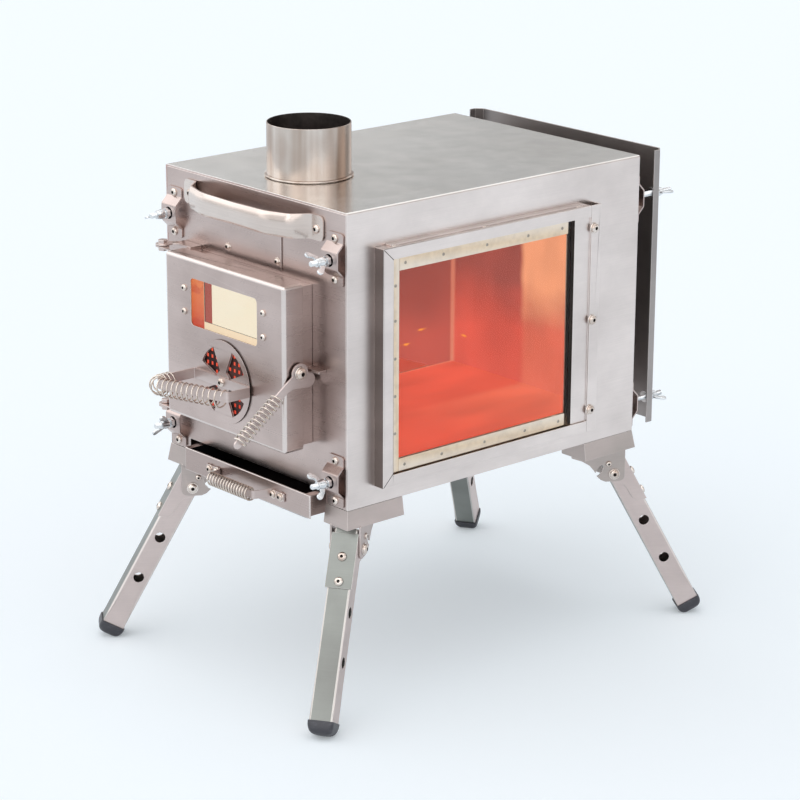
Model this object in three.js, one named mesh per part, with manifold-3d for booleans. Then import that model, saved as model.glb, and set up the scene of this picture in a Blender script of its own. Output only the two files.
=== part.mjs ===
// A tent wood stove of folded stainless sheet, on four folding legs, with a hinged door,
// a rotary air damper, side windows, an ash drawer, a flue collar and a rear heat shield.
//
// Working frame, in millimetres: x to the right as seen from the door, y from the door to the
// back, z up. The body's lower edge is on z = 0 and its front face on y = 0. At the end the
// whole group is moved so that the origin is the middle of the ground under the stove.

import * as THREE from 'three';
import { mergeVertices } from 'three/addons/utils/BufferGeometryUtils.js';
import Module from 'manifold-3d';

const wasm = await Module();
wasm.setup();

// ---- Driving dimensions --------------------------------------------------------------------

const FIT = 0.3; // clearance between pieces that seat on or turn in each other
const SHEET = 1.5; // body, door, brackets and strips
const OVERRUN = 1; // how far a cutting shape reaches past the face that it cuts
const WELD = 1; // how far welded pieces run into each other

const BODY_WIDTH = 300;
const BODY_DEPTH = 417;
const BODY_HEIGHT = 313.6;
const BODY_CORNER = 2.5; // outer bend radius of the top's long edges
const FLOOR_LEVEL = 15; // upper face of the firebox floor

const FLUE_X = -9;
const FLUE_Y = 82.5;
const FLUE_RADIUS = 44.7;
const FLUE_WALL = 1.2;
const FLUE_HEIGHT = 57.3; // above the top plate
const FLUE_TUCK = 6; // below the top plate's upper face
const FLUE_SIDES = 28;
const FLUE_BEAD = 2.4; // height and reach of the ring that rests on the top plate

const ASH_SLOT_COUNT = 4;
const ASH_SLOT_WIDTH = 10;
const ASH_SLOT_LENGTH = 40;
const ASH_SLOT_PITCH = 34;
const ASH_SLOT_SETBACK = 20; // from the front face to the slots

const DRAWER_LEFT_ROOM = 14; // from the slot's left end to the drawer
const DRAWER_RIGHT_ROOM = 4;
const DRAWER_HEIGHT = 26;
const DRAWER_TOP = 11;
const DRAWER_PROUD = 18; // how far its front stands before the front panel
const DRAWER_DEPTH = 300;
const DRAWER_SHEET = 1.2;
const DRAWER_FLANGE = 7; // side flanges that slide on the runners
const SLOT_TOP = 13; // upper edge of the drawer's slot in the front panel
const RUNNER_REST = 60; // runners end this far before the back panel

const DOOR_SIDE_MARGIN = 51; // front panel left free beside the door
const DOOR_TOP_MARGIN = 79.6; // front panel left free above the door
const DOOR_BOTTOM = 57;
const DOOR_DEPTH = 25;
const DOOR_STANDOFF = 16; // from the front panel to the door's rear edge
const COLLAR_INSET = 4; // the door frame's collar inside the door's outline
const PANEL_LIP = 7; // front panel left inside the collar, where the collar seats

const WINDOW_SIDE_MARGIN = 43.4; // door face left free beside the window
const WINDOW_TOP_MARGIN = 20.5; // door face left free above the window
const WINDOW_HEIGHT = 51;
const WINDOW_CORNER = 5;
const GLASS_THICKNESS = 4;
const GLASS_LAP = 8; // glass hidden behind the window's edge

const DAMPER_MARGIN = 10.5; // door face left free below the damper disc
const DAMPER_GAP = 5; // door face left free between the disc and the window
const DAMPER_RIM = 7; // disc left outside the air wedges
const DAMPER_HUB = 12; // disc left inside the air wedges
const WEDGE_ANGLE = 42; // degrees; under 45, so that a 45 degree turn shuts every wedge
const STRAP_HEIGHT = 11;
const STRAP_REACH = 30; // from the disc to the handle's right corner
const STRAP_SLANT = 28; // the left corner reaches this much further
const MESH_PITCH = 7.5;
const MESH_HOLE = 4;
const MESH_PLATE = 1;

const HINGE_OFFSET = 22; // hinge axis beside the door
const HINGE_Y = -27;
const HINGE_EYE = 8; // radius of the rounded hinge ears and tabs
const BOLT_RADIUS = 3;
const BOLT_HEAD = 5.5; // radius over the corners of bolt heads and nuts
const BOLT_HEAD_HEIGHT = 4;

const LATCH_Y = -23;
const LATCH_DROP = 92.5; // pivot below the door's upper edge
const LATCH_PLATE = 2;
const LATCH_SPACER = 2.2; // from the door's side wall to the lever
const LATCH_HEAD = 10.5; // radius of the lever's head
const LATCH_LENGTH = 105; // pivot to tip
const LATCH_SLOPE = 36; // degrees below the horizontal
const LATCH_WIDTH = 9;
const LATCH_LOBE_DROP = 16; // height of the lobe that rests under the keeper
const LATCH_LOBE_GAP = 3.5; // from the lobe to the front panel
const KEEPER_REACH = 10;
const KEEPER_THICKNESS = 3;

const STUD_RADIUS = 3;
const BRACKET_WIDTH = 25;
const BRACKET_HEIGHT = 55;
const BRACKET_RISE = 8; // height of the raised middle
const BRACKET_FLAT = 9; // half height of the raised middle
const BRACKET_FOOT = 17; // from the middle to the start of each foot
const SCREW_HEAD = 4.5;
const SCREW_HEAD_HEIGHT = 2.2;
const SCREW_SPREAD = 21.5; // from a stud to its bracket's screws
const FRONT_STUD_INSET = 17; // from the body's side
const STUD_TOP_MARGIN = 49.6; // from the body's top to the upper studs
const STUD_LOW_HEIGHT = 29.5; // lower studs above the body's lower edge
const FRONT_STUD_LENGTH = 34;
const FRONT_NUT_SEAT = 9.6; // hex nut, from the panel
const HEX_NUT_HEIGHT = 5;
const FRONT_WING_SEAT = 17.5; // wing nut, from the panel
const WING_NUT_HEIGHT = 9;
const WING_NUT_RADIUS = 5.6;
const WING_SPAN = 15.5; // from the axis to a wing's tip

const SHIELD_GAP = 38.5; // from the back panel to the shield
const SHIELD_FLANGE = 16;
const SHIELD_SIDE_INSET = 1; // narrower than the body on each side
const SHIELD_LOW = 3.5;
const SHIELD_ABOVE = 1.4; // above the body's top
const SHIELD_FOLD = 7; // size of the slanted fold between plate and flange
const STUD_TO_FOLD = 4; // from a rear stud's axis to the shield's slanted fold
const REAR_STUD_PAST_UPPER = 24; // stud left past the shield
const REAR_STUD_PAST_LOWER = 19;

const HANDLE_SIDE_MARGIN = 35; // from the body's side to the handle's foot
const HANDLE_FOOT = 21; // width of each foot plate
const HANDLE_FOOT_HEIGHT = 28;
const HANDLE_STRIP = 20;
const HANDLE_BOW = 29; // how far the handle stands before the front panel
const HANDLE_DROP = 26.6; // middle of the handle below the body's top
const HANDLE_SHEET = 2;
const BADGE_WIDTH = 94;
const BADGE_HEIGHT = 38;

const PANE_FRAME_FRONT = 36; // from the front face to the side window's frame
const PANE_FRAME_LOW = 19.6;
const PANE_FRAME_TOP_MARGIN = 40.2;
const PANE_FRAME_REAR_MARGIN = 72; // from the back face to the clamp
const PANE_FRAME_DEPTH = 14; // how far the frame stands out of the body's side
const PANE_FRAME_FACE = 14; // width of its upright strip
const PANE_FRAME_RAIL = 12.5; // width of its upper and lower strips
const PANE_SIGHT_INSET = 24; // from the frame's outline to the opening in the body's side
const PANE_STANDOFF = 6; // from the body's side to the glass
const CLAMP_WIDTH = 14;
const CLAMP_LIP = 23; // how far the clamp's lip reaches over the glass
const CLAMP_SCREW_INSET = 25; // from the frame's ends to the clamp's outer screws

const LEG_BOX_WIDTH = 35;
const LEG_BOX_DEPTH = 75;
const LEG_BOX_HEIGHT = 20;
const LEG_BOX_FLARE = 3;
const LEG_CORNER_X = 16; // from the body's side to the radial plane's datum
const LEG_CORNER_Y = 14.86; // from the body's end to the same datum
const LEG_PLAN_ANGLE = 33.24; // degrees between the leg's plane and the y axis
const LEG_SPLAY = 28.2; // degrees from the vertical
const LEG_TUBE = 25;
const LEG_WALL = 1.5;
const LEG_PIVOT_DROP = 46.9; // pivot below the body's lower edge
const LEG_OFFSET = 5; // the tube's middle lies this far outside its pivot
const LEG_ABOVE_PIVOT = 17.5;
const LEG_LENGTH = 182.3; // pivot to the foot cap's upper edge
const LEG_HOLE_RADIUS = 6;
const LEG_HOLE_FIRST = 68.3; // from the pivot
const LEG_HOLE_PITCH = 52;
const PIVOT_RADIUS = 3.5;
const EAR_SHEET = 2;
const CHANNEL_SHEET = 1.6;
const CHANNEL_ABOVE_PIVOT = 12;
const CHANNEL_BELOW_PIVOT = 45.8;
const CAP_WALL = 1.2;
const CAP_SOCKET = 6; // how far the tube stands in its cap
const CAP_TIP = 13; // cap below its upper edge
const CAP_CHAMFER = 5;

const COIL_STEPS = 8; // straight steps in each turn of a spring

// ---- Places worked out from them -----------------------------------------------------------

const HALF_WIDTH = BODY_WIDTH / 2;
const PANEL_HALF = HALF_WIDTH - SHEET - FIT;
const PANEL_TOP = BODY_HEIGHT - SHEET - FIT;
const FLOOR_UNDERSIDE = FLOOR_LEVEL - SHEET;

const DRAWER_BOTTOM = DRAWER_TOP - DRAWER_HEIGHT;
const SLOT_HALF = HALF_WIDTH - LEG_BOX_WIDTH;
const DRAWER_LEFT = -SLOT_HALF + DRAWER_LEFT_ROOM;
const DRAWER_RIGHT = SLOT_HALF - DRAWER_RIGHT_ROOM;
const DRAWER_SHIFT = (DRAWER_LEFT + DRAWER_RIGHT) / 2;
const HANDLE_HALF = HALF_WIDTH - HANDLE_SIDE_MARGIN;

const DOOR_HALF = HALF_WIDTH - DOOR_SIDE_MARGIN;
const DOOR_TOP = BODY_HEIGHT - DOOR_TOP_MARGIN;
const DOOR_REAR = -DOOR_STANDOFF;
const DOOR_FRONT = DOOR_REAR - DOOR_DEPTH;
const DOOR_INSIDE = DOOR_FRONT + SHEET;
const COLLAR_HALF = DOOR_HALF - COLLAR_INSET;
const COLLAR_LOW = DOOR_BOTTOM + COLLAR_INSET;
const COLLAR_TOP = DOOR_TOP - COLLAR_INSET;
const HATCH_HALF = COLLAR_HALF - PANEL_LIP;
const HATCH_LOW = COLLAR_LOW + PANEL_LIP;
const HATCH_TOP = COLLAR_TOP - PANEL_LIP;

const WINDOW_HALF = DOOR_HALF - WINDOW_SIDE_MARGIN;
const WINDOW_TOP = DOOR_TOP - WINDOW_TOP_MARGIN;
const WINDOW_LOW = WINDOW_TOP - WINDOW_HEIGHT;
const DAMPER_TOP = WINDOW_LOW - DAMPER_GAP;
const DAMPER_RADIUS = (DAMPER_TOP - DOOR_BOTTOM - DAMPER_MARGIN) / 2;
const DAMPER_Z = DAMPER_TOP - DAMPER_RADIUS;
const DISC_REAR = DOOR_FRONT - FIT;
const DISC_FRONT = DISC_REAR - SHEET;
const WEDGE_OUTER = DAMPER_RADIUS - DAMPER_RIM;
const MESH_FRONT = DOOR_INSIDE + FIT;
const MESH_HALF = DAMPER_RADIUS - 4;
const STRAP_LEFT = -DAMPER_RADIUS - 2;
const STRAP_RIGHT = DAMPER_RADIUS + 1;
const STRAP_REAR = DISC_FRONT - SHEET / 2;
const STRAP_FRONT_RIGHT = DISC_FRONT - STRAP_REACH;
const STRAP_FRONT_LEFT = STRAP_FRONT_RIGHT - STRAP_SLANT;

const HINGE_X = -DOOR_HALF - HINGE_OFFSET;
const LATCH_Z = DOOR_TOP - LATCH_DROP;
const LATCH_INSIDE = DOOR_HALF + LATCH_SPACER;
const LATCH_OUTSIDE = LATCH_INSIDE + LATCH_PLATE;
const KEEPER_LOW = LATCH_Z - 0.5;

const STUD_HIGH = BODY_HEIGHT - STUD_TOP_MARGIN;
const SHIELD_TOP = BODY_HEIGHT + SHIELD_ABOVE;
const SHIELD_HALF = HALF_WIDTH - SHIELD_SIDE_INSET;
const REAR_STUD_X = SHIELD_HALF - SHEET - SHIELD_FOLD - STUD_TO_FOLD;

const PANE_FRAME_TOP = BODY_HEIGHT - PANE_FRAME_TOP_MARGIN;
const PANE_FRAME_REAR = BODY_DEPTH - PANE_FRAME_REAR_MARGIN;
const PANE_CLAMP_FRONT = PANE_FRAME_REAR - CLAMP_WIDTH;
const PANE_INSIDE = HALF_WIDTH + FIT;
const PANE_OUTSIDE = HALF_WIDTH + PANE_FRAME_DEPTH;
const GLASS_INSIDE = HALF_WIDTH + PANE_STANDOFF;
const GLASS_OUTSIDE = GLASS_INSIDE + GLASS_THICKNESS;

const LEG_ANGLE = THREE.MathUtils.degToRad(LEG_PLAN_ANGLE);
const CHANNEL_INSIDE = LEG_TUBE / 2 + FIT;
const CHANNEL_OUTSIDE = CHANNEL_INSIDE + CHANNEL_SHEET;
const EAR_INSIDE = CHANNEL_OUTSIDE + FIT;
const EAR_OUTSIDE = EAR_INSIDE + EAR_SHEET;

const CORNERS = [
  { name: 'front_right', x: 1, y: -1 },
  { name: 'front_left', x: -1, y: -1 },
  { name: 'rear_right', x: 1, y: 1 },
  { name: 'rear_left', x: -1, y: 1 },
];

const SIDES = [
  { name: 'right', x: 1 },
  { name: 'left', x: -1 },
];

// ---- Materials -----------------------------------------------------------------------------

const metal = (color, roughness) => new THREE.MeshStandardMaterial({ color, roughness, metalness: 1 });
const plain = (color, roughness) => new THREE.MeshStandardMaterial({ color, roughness, metalness: 0 });

const STEEL = metal(0xc6bfba, 0.38);
const LEG_STEEL = metal(0xb9bcb8, 0.42);
const BRIGHT_STEEL = metal(0xd8d6d3, 0.28);
const ZINC = metal(0xdadde0, 0.25);
const DARK_STEEL = metal(0x4c4a4b, 0.45);
const PIERCED_STEEL = metal(0x8a7d78, 0.5);
const PANE = plain(0xe0a48c, 0.08);
const CAP_RUBBER = plain(0x2c2e33, 0.7);

// ---- Solids: joining and cutting -----------------------------------------------------------

function solidOf(geometry) {
  geometry.deleteAttribute('normal');
  geometry.deleteAttribute('uv');
  const merged = mergeVertices(geometry);
  const mesh = new wasm.Mesh({
    numProp: 3,
    vertProperties: Float32Array.from(merged.attributes.position.array),
    triVerts: Uint32Array.from(merged.index.array),
  });
  return new wasm.Manifold(mesh);
}

const asSolid = (part) => (part.isBufferGeometry ? solidOf(part) : part);

const join = (...parts) => parts.map(asSolid).reduce((whole, part) => whole.add(part));

const between = (a, b) => [Math.min(a, b), Math.max(a, b)];

const cut = (whole, ...tools) => {
  const less = (rest, tool) => rest.subtract(asSolid(tool));
  return tools.reduce(less, asSolid(whole));
};

function geometryOf(part) {
  const mesh = asSolid(part).getMesh();
  const geometry = new THREE.BufferGeometry();
  geometry.setAttribute('position', new THREE.BufferAttribute(mesh.vertProperties, 3));
  geometry.setIndex(new THREE.BufferAttribute(mesh.triVerts, 1));
  geometry.computeVertexNormals();
  return geometry;
}

function addPiece(parent, name, geometry, material) {
  const mesh = new THREE.Mesh(geometry, material.clone());
  mesh.name = name;
  parent.add(mesh);
  return mesh;
}

// ---- Shapes in space -----------------------------------------------------------------------

function block(x0, x1, y0, y1, z0, z1) {
  const box = new THREE.BoxGeometry(x1 - x0, y1 - y0, z1 - z0);
  return box.translate((x0 + x1) / 2, (y0 + y1) / 2, (z0 + z1) / 2);
}

// A block whose upper and lower faces are two different rectangles [x0, x1, y0, y1].
function taper(lower, upper, z0, z1) {
  const box = new THREE.BoxGeometry(1, 1, 1);
  const position = box.attributes.position;
  for (let i = 0; i < position.count; i += 1) {
    const face = position.getZ(i) < 0 ? lower : upper;
    const x = face[position.getX(i) < 0 ? 0 : 1];
    const y = face[position.getY(i) < 0 ? 2 : 3];
    position.setXYZ(i, x, y, position.getZ(i) < 0 ? z0 : z1);
  }
  return box;
}

// A cylinder along one axis; centre holds its other two coordinates.
function rod(axis, centre, radius, from, to, sides = 10) {
  const cylinder = new THREE.CylinderGeometry(radius, radius, to - from, sides);
  const middle = (from + to) / 2;
  if (axis === 'x') {
    return cylinder.rotateZ(-Math.PI / 2).translate(middle, centre[0], centre[1]);
  }
  if (axis === 'y') {
    return cylinder.translate(centre[0], middle, centre[1]);
  }
  return cylinder.rotateX(Math.PI / 2).translate(centre[0], centre[1], middle);
}

// A shape drawn in (y, z), extruded along x.
function extrudeX(shape, x0, x1, curveSegments = 6) {
  const options = { depth: x1 - x0, bevelEnabled: false, curveSegments };
  const geometry = new THREE.ExtrudeGeometry(shape, options);
  return geometry.applyMatrix4(new THREE.Matrix4().set(0, 0, 1, x0, 1, 0, 0, 0, 0, 1, 0, 0, 0, 0, 0, 1));
}

// A shape drawn in (x, z), extruded along y.
function extrudeY(shape, y0, y1, curveSegments = 6) {
  const options = { depth: y1 - y0, bevelEnabled: false, curveSegments };
  const geometry = new THREE.ExtrudeGeometry(shape, options);
  return geometry.rotateX(Math.PI / 2).translate(0, y1, 0);
}

// A shape drawn in (x, y), extruded along z.
function extrudeZ(shape, z0, z1, curveSegments = 6) {
  const options = { depth: z1 - z0, bevelEnabled: false, curveSegments };
  const geometry = new THREE.ExtrudeGeometry(shape, options);
  return geometry.translate(0, 0, z0);
}

// ---- Flat outlines -------------------------------------------------------------------------

const outline = (points) => new THREE.Shape(points.map(([x, y]) => new THREE.Vector2(x, y)));

function roundedRectangle(x0, x1, y0, y1, radius) {
  const shape = new THREE.Shape();
  shape.absarc(x1 - radius, y1 - radius, radius, 0, Math.PI / 2, false);
  shape.absarc(x0 + radius, y1 - radius, radius, Math.PI / 2, Math.PI, false);
  shape.absarc(x0 + radius, y0 + radius, radius, Math.PI, Math.PI * 1.5, false);
  shape.absarc(x1 - radius, y0 + radius, radius, Math.PI * 1.5, Math.PI * 2, false);
  shape.closePath();
  return shape;
}

// Corners [x, y, radius] of a bent strip's middle line, each bend drawn with a few steps.
function bentLine(corners, closed = false, steps = 3) {
  const points = [];
  corners.forEach(([x, y, radius], i) => {
    const here = new THREE.Vector2(x, y);
    if (!radius) {
      points.push(here);
      return;
    }
    const last = corners.length - 1;
    const before = new THREE.Vector2(...corners[i === 0 && closed ? last : i - 1].slice(0, 2));
    const after = new THREE.Vector2(...corners[i === last && closed ? 0 : i + 1].slice(0, 2));
    const back = before.sub(here).normalize();
    const ahead = after.sub(here).normalize();
    const opening = Math.acos(THREE.MathUtils.clamp(back.dot(ahead), -1, 1));
    const reach = radius / Math.tan(opening / 2);
    const start = here.clone().addScaledVector(back, reach);
    const end = here.clone().addScaledVector(ahead, reach);
    points.push(...new THREE.QuadraticBezierCurve(start, here, end).getPoints(steps));
  });
  return points;
}

function offsetLine(points, distance, closed) {
  const count = points.length;
  return points.map((point, i) => {
    const before = points[closed ? (i + count - 1) % count : Math.max(i - 1, 0)];
    const after = points[closed ? (i + 1) % count : Math.min(i + 1, count - 1)];
    const arriving = point.clone().sub(before).normalize();
    const leaving = after.clone().sub(point).normalize();
    if (before === point) arriving.copy(leaving);
    if (after === point) leaving.copy(arriving);
    const along = arriving.clone().add(leaving).normalize();
    const normal = new THREE.Vector2(-along.y, along.x);
    const spread = normal.dot(new THREE.Vector2(-leaving.y, leaving.x));
    return point.clone().addScaledVector(normal, distance / spread);
  });
}

// A strip of even thickness whose middle follows the line.
function stripShape(line, thickness, closed = false) {
  const left = offsetLine(line, thickness / 2, closed);
  const right = offsetLine(line, -thickness / 2, closed);
  if (!closed) {
    return new THREE.Shape([...left, ...right.reverse()]);
  }
  const size = (loop) => Math.abs(THREE.ShapeUtils.area(loop));
  const [outside, inside] = size(left) > size(right) ? [left, right] : [right, left];
  if (THREE.ShapeUtils.isClockWise(outside)) outside.reverse();
  const ring = new THREE.Shape(outside);
  ring.holes.push(new THREE.Path(inside));
  return ring;
}

// A wedge-shaped opening between two radii, centred on the angle in degrees.
function wedgeShape(x, z, inner, outer, angle, spread) {
  const from = THREE.MathUtils.degToRad(angle - spread / 2);
  const to = THREE.MathUtils.degToRad(angle + spread / 2);
  const shape = new THREE.Shape();
  shape.absarc(x, z, outer, from, to, false);
  shape.absarc(x, z, inner, to, from, true);
  shape.closePath();
  return shape;
}

// ---- Springs -------------------------------------------------------------------------------

// A coil wound round a middle line that lies in the plane across `up`.
class CoilCurve extends THREE.Curve {
  constructor(middle, up, radius, turns) {
    super();
    this.middle = middle;
    this.up = up;
    this.radius = radius;
    this.turns = turns;
    this.arcLengthDivisions = turns * COIL_STEPS * 4;
  }

  getPoint(t, target = new THREE.Vector3()) {
    const side = this.up.clone().cross(this.middle.getTangentAt(t)).normalize();
    const angle = t * this.turns * Math.PI * 2 + Math.PI / COIL_STEPS;
    target.copy(this.middle.getPointAt(t));
    target.addScaledVector(side, this.radius * Math.sin(angle));
    return target.addScaledVector(this.up, this.radius * Math.cos(angle));
  }
}

function spring(middle, up, radius, wire, turns) {
  const curve = new CoilCurve(middle, up, radius, turns);
  const section = outline([[wire / 2, 0], [0, wire / 2], [-wire / 2, 0], [0, -wire / 2]]);
  const options = { steps: turns * COIL_STEPS, extrudePath: curve, bevelEnabled: false };
  return new THREE.ExtrudeGeometry(section, options);
}

// How far a spring of this size drops before it rests on a strip of the given half height.
function springDrop(radius, wire, reach) {
  const inside = radius * Math.cos(Math.PI / COIL_STEPS) - wire / 2;
  return inside - reach - FIT;
}

// ---- Body ----------------------------------------------------------------------------------

function bodyWrap() {
  const bend = BODY_CORNER;
  const inner = HALF_WIDTH - SHEET;
  const ceiling = BODY_HEIGHT - SHEET;
  const shape = new THREE.Shape();
  shape.moveTo(-HALF_WIDTH, 0);
  shape.absarc(-HALF_WIDTH + bend, BODY_HEIGHT - bend, bend, Math.PI, Math.PI / 2, true);
  shape.absarc(HALF_WIDTH - bend, BODY_HEIGHT - bend, bend, Math.PI / 2, 0, true);
  shape.lineTo(HALF_WIDTH, 0);
  shape.lineTo(inner, 0);
  shape.lineTo(inner, ceiling);
  shape.lineTo(-inner, ceiling);
  shape.lineTo(-inner, 0);
  shape.closePath();
  const sightLow = PANE_FRAME_LOW + PANE_SIGHT_INSET;
  const sightTop = PANE_FRAME_TOP - PANE_SIGHT_INSET;
  const sightFront = PANE_FRAME_FRONT + PANE_SIGHT_INSET;
  const sightRear = PANE_CLAMP_FRONT - PANE_SIGHT_INSET;
  const across = HALF_WIDTH + OVERRUN;
  const sight = block(-across, across, sightFront, sightRear, sightLow, sightTop);
  const bore = FLUE_RADIUS + FIT;
  const flue = rod('z', [FLUE_X, FLUE_Y], bore, ceiling - OVERRUN, BODY_HEIGHT + OVERRUN, FLUE_SIDES);
  return cut(extrudeY(shape, 0, BODY_DEPTH, 4), sight, flue);
}

function frontPanel() {
  const sheet = block(-PANEL_HALF, PANEL_HALF, 0, SHEET, 0, PANEL_TOP);
  const hatch = block(-HATCH_HALF, HATCH_HALF, -OVERRUN, SHEET + OVERRUN, HATCH_LOW, HATCH_TOP);
  const slot = block(-SLOT_HALF, SLOT_HALF, -OVERRUN, SHEET + OVERRUN, -OVERRUN, SLOT_TOP);
  return cut(sheet, hatch, slot);
}

const backPanel = () => block(-PANEL_HALF, PANEL_HALF, BODY_DEPTH - SHEET, BODY_DEPTH, 0, PANEL_TOP);

function runner(side) {
  const edge = side < 0 ? DRAWER_LEFT : DRAWER_RIGHT;
  const web = edge + side * FIT;
  const outer = web + side * SHEET;
  const ledge = edge - side * (DRAWER_FLANGE - 1);
  const top = DRAWER_TOP - SHEET - FIT;
  const from = ASH_SLOT_SETBACK;
  const to = BODY_DEPTH - RUNNER_REST;
  const low = top - SHEET;
  const upright = block(...between(web, outer), from, to, low, FLOOR_UNDERSIDE + WELD);
  return join(upright, block(...between(ledge, outer), from, to, low, top));
}

function fireboxFloor() {
  const front = SHEET + FIT;
  const plate = block(-PANEL_HALF, PANEL_HALF, front, BODY_DEPTH - front, FLOOR_UNDERSIDE, FLOOR_LEVEL);
  const slots = [];
  for (let i = 0; i < ASH_SLOT_COUNT; i += 1) {
    const x = DRAWER_SHIFT + (i - (ASH_SLOT_COUNT - 1) / 2) * ASH_SLOT_PITCH;
    const to = ASH_SLOT_SETBACK + ASH_SLOT_LENGTH;
    const low = FLOOR_UNDERSIDE - OVERRUN;
    const half = ASH_SLOT_WIDTH / 2;
    slots.push(block(x - half, x + half, ASH_SLOT_SETBACK, to, low, FLOOR_LEVEL + OVERRUN));
  }
  return join(cut(plate, ...slots), runner(-1), runner(1));
}

function flueCollar() {
  const inner = FLUE_RADIUS - FLUE_WALL;
  const seat = BODY_HEIGHT + FIT;
  const profile = [
    [inner, BODY_HEIGHT - FLUE_TUCK],
    [FLUE_RADIUS, BODY_HEIGHT - FLUE_TUCK],
    [FLUE_RADIUS, seat],
    [FLUE_RADIUS + FLUE_BEAD, seat],
    [FLUE_RADIUS + FLUE_BEAD, seat + FLUE_BEAD / 2],
    [FLUE_RADIUS, seat + FLUE_BEAD],
    [FLUE_RADIUS, BODY_HEIGHT + FLUE_HEIGHT],
    [inner, BODY_HEIGHT + FLUE_HEIGHT],
    [inner, BODY_HEIGHT - FLUE_TUCK],
  ];
  const lathe = new THREE.LatheGeometry(profile.map(([r, h]) => new THREE.Vector2(r, h)), FLUE_SIDES);
  return lathe.rotateX(Math.PI / 2).translate(FLUE_X, FLUE_Y, 0);
}

function carryHandle() {
  const rear = -FIT - HANDLE_SHEET / 2;
  const front = rear - HANDLE_BOW;
  const inner = HANDLE_HALF - HANDLE_FOOT;
  const half = [
    [-HANDLE_HALF, rear],
    [-inner, rear, 4],
    [-inner + 14, front + 9, 14],
    [-inner + 44, front, 60],
  ];
  const mirrored = half.map(([x, y, radius]) => [-x, y, radius]).reverse();
  const line = bentLine([...half, ...mirrored]);
  const middle = BODY_HEIGHT - HANDLE_DROP;
  const low = middle - HANDLE_STRIP / 2;
  const bar = extrudeZ(stripShape(line, HANDLE_SHEET), low, low + HANDLE_STRIP);
  const pieces = [bar];
  SIDES.forEach(({ x }) => {
    const face = -FIT - HANDLE_SHEET;
    const ends = between(x * HANDLE_HALF, x * inner);
    pieces.push(block(...ends, face, -FIT, low, low + HANDLE_FOOT_HEIGHT));
    const place = [x * (HANDLE_HALF - HANDLE_FOOT / 2), middle + 2.6];
    pieces.push(rod('y', place, SCREW_HEAD, face - SCREW_HEAD_HEIGHT, face + 0.5));
  });
  return join(...pieces);
}

function badgePlate() {
  const low = COLLAR_TOP + COLLAR_INSET;
  return block(-BADGE_WIDTH / 2, BADGE_WIDTH / 2, -FIT - 1.2, -FIT, low, low + BADGE_HEIGHT);
}

// ---- Door frame ----------------------------------------------------------------------------

// Plan outline of a hinge tab: from the collar, past the stud bracket, round the bolt.
function hingeTabShape() {
  const root = -COLLAR_HALF + 7;
  const outer = HINGE_X - HINGE_EYE;
  const inner = HINGE_X + HINGE_EYE;
  const shape = new THREE.Shape();
  shape.moveTo(root, -FIT);
  shape.lineTo(HINGE_X + 4, -FIT);
  shape.lineTo(HINGE_X + 4, -9);
  shape.lineTo(outer, -21);
  shape.absarc(HINGE_X, HINGE_Y, HINGE_EYE, Math.PI, Math.PI * 2, false);
  shape.lineTo(inner, -20);
  shape.lineTo(inner + 5, DOOR_REAR + FIT);
  shape.lineTo(root, DOOR_REAR + FIT);
  shape.closePath();
  return shape;
}

// One hinge point of the frame: a tab outside the door's ear, with its bolt through both.
function frameHinge(side) {
  const edge = side > 0 ? DOOR_TOP : DOOR_BOTTOM;
  const near = edge + side * FIT;
  const far = near + side * SHEET;
  const earFace = edge - side * SHEET;
  const nut = earFace - side * FIT;
  const axis = [HINGE_X, HINGE_Y];
  const tab = extrudeZ(hingeTabShape(), ...between(near, far), 4);
  const root = -COLLAR_HALF + 7;
  const seat = edge - side * (COLLAR_INSET + WELD);
  const web = block(-COLLAR_HALF, root, DOOR_REAR + FIT, -FIT, ...between(seat, far));
  const shaft = rod('z', axis, BOLT_RADIUS, ...between(nut - side * BOLT_HEAD_HEIGHT, far + side));
  const headSpan = between(far - side * 0.5, far + side * BOLT_HEAD_HEIGHT);
  const head = rod('z', axis, BOLT_HEAD, ...headSpan, 6);
  const foot = rod('z', axis, BOLT_HEAD, ...between(nut, nut - side * BOLT_HEAD_HEIGHT), 6);
  return join(tab, web, shaft, head, foot);
}

function doorFrame() {
  const rear = -FIT;
  const front = DOOR_REAR + FIT;
  const outer = block(-COLLAR_HALF, COLLAR_HALF, front, rear, COLLAR_LOW, COLLAR_TOP);
  const inner = block(
    -COLLAR_HALF + SHEET, COLLAR_HALF - SHEET,
    front - OVERRUN, rear + OVERRUN,
    COLLAR_LOW + SHEET, COLLAR_TOP - SHEET,
  );
  const keeperEnd = LATCH_OUTSIDE + 14;
  const keeperTop = KEEPER_LOW + KEEPER_THICKNESS;
  const keeper = block(COLLAR_HALF - WELD, keeperEnd, -KEEPER_REACH, rear, KEEPER_LOW, keeperTop);
  return join(cut(outer, inner), frameHinge(1), frameHinge(-1), keeper);
}

// ---- Door ----------------------------------------------------------------------------------

function damperWedges(y0, y1) {
  return [45, 135, 225, 315].map((angle) => {
    const shape = wedgeShape(0, DAMPER_Z, DAMPER_HUB, WEDGE_OUTER, angle, WEDGE_ANGLE);
    return extrudeY(shape, y0, y1, 4);
  });
}

function doorEar(low) {
  const shape = new THREE.Shape();
  shape.moveTo(-DOOR_HALF + 1, HINGE_Y + HINGE_EYE);
  shape.absarc(HINGE_X, HINGE_Y, HINGE_EYE, Math.PI / 2, Math.PI * 1.5, false);
  shape.lineTo(-DOOR_HALF + 1, HINGE_Y - HINGE_EYE);
  shape.closePath();
  const hole = rod('z', [HINGE_X, HINGE_Y], BOLT_RADIUS + FIT, low - OVERRUN, low + SHEET + OVERRUN);
  return cut(extrudeZ(shape, low, low + SHEET, 4), hole);
}

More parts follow.
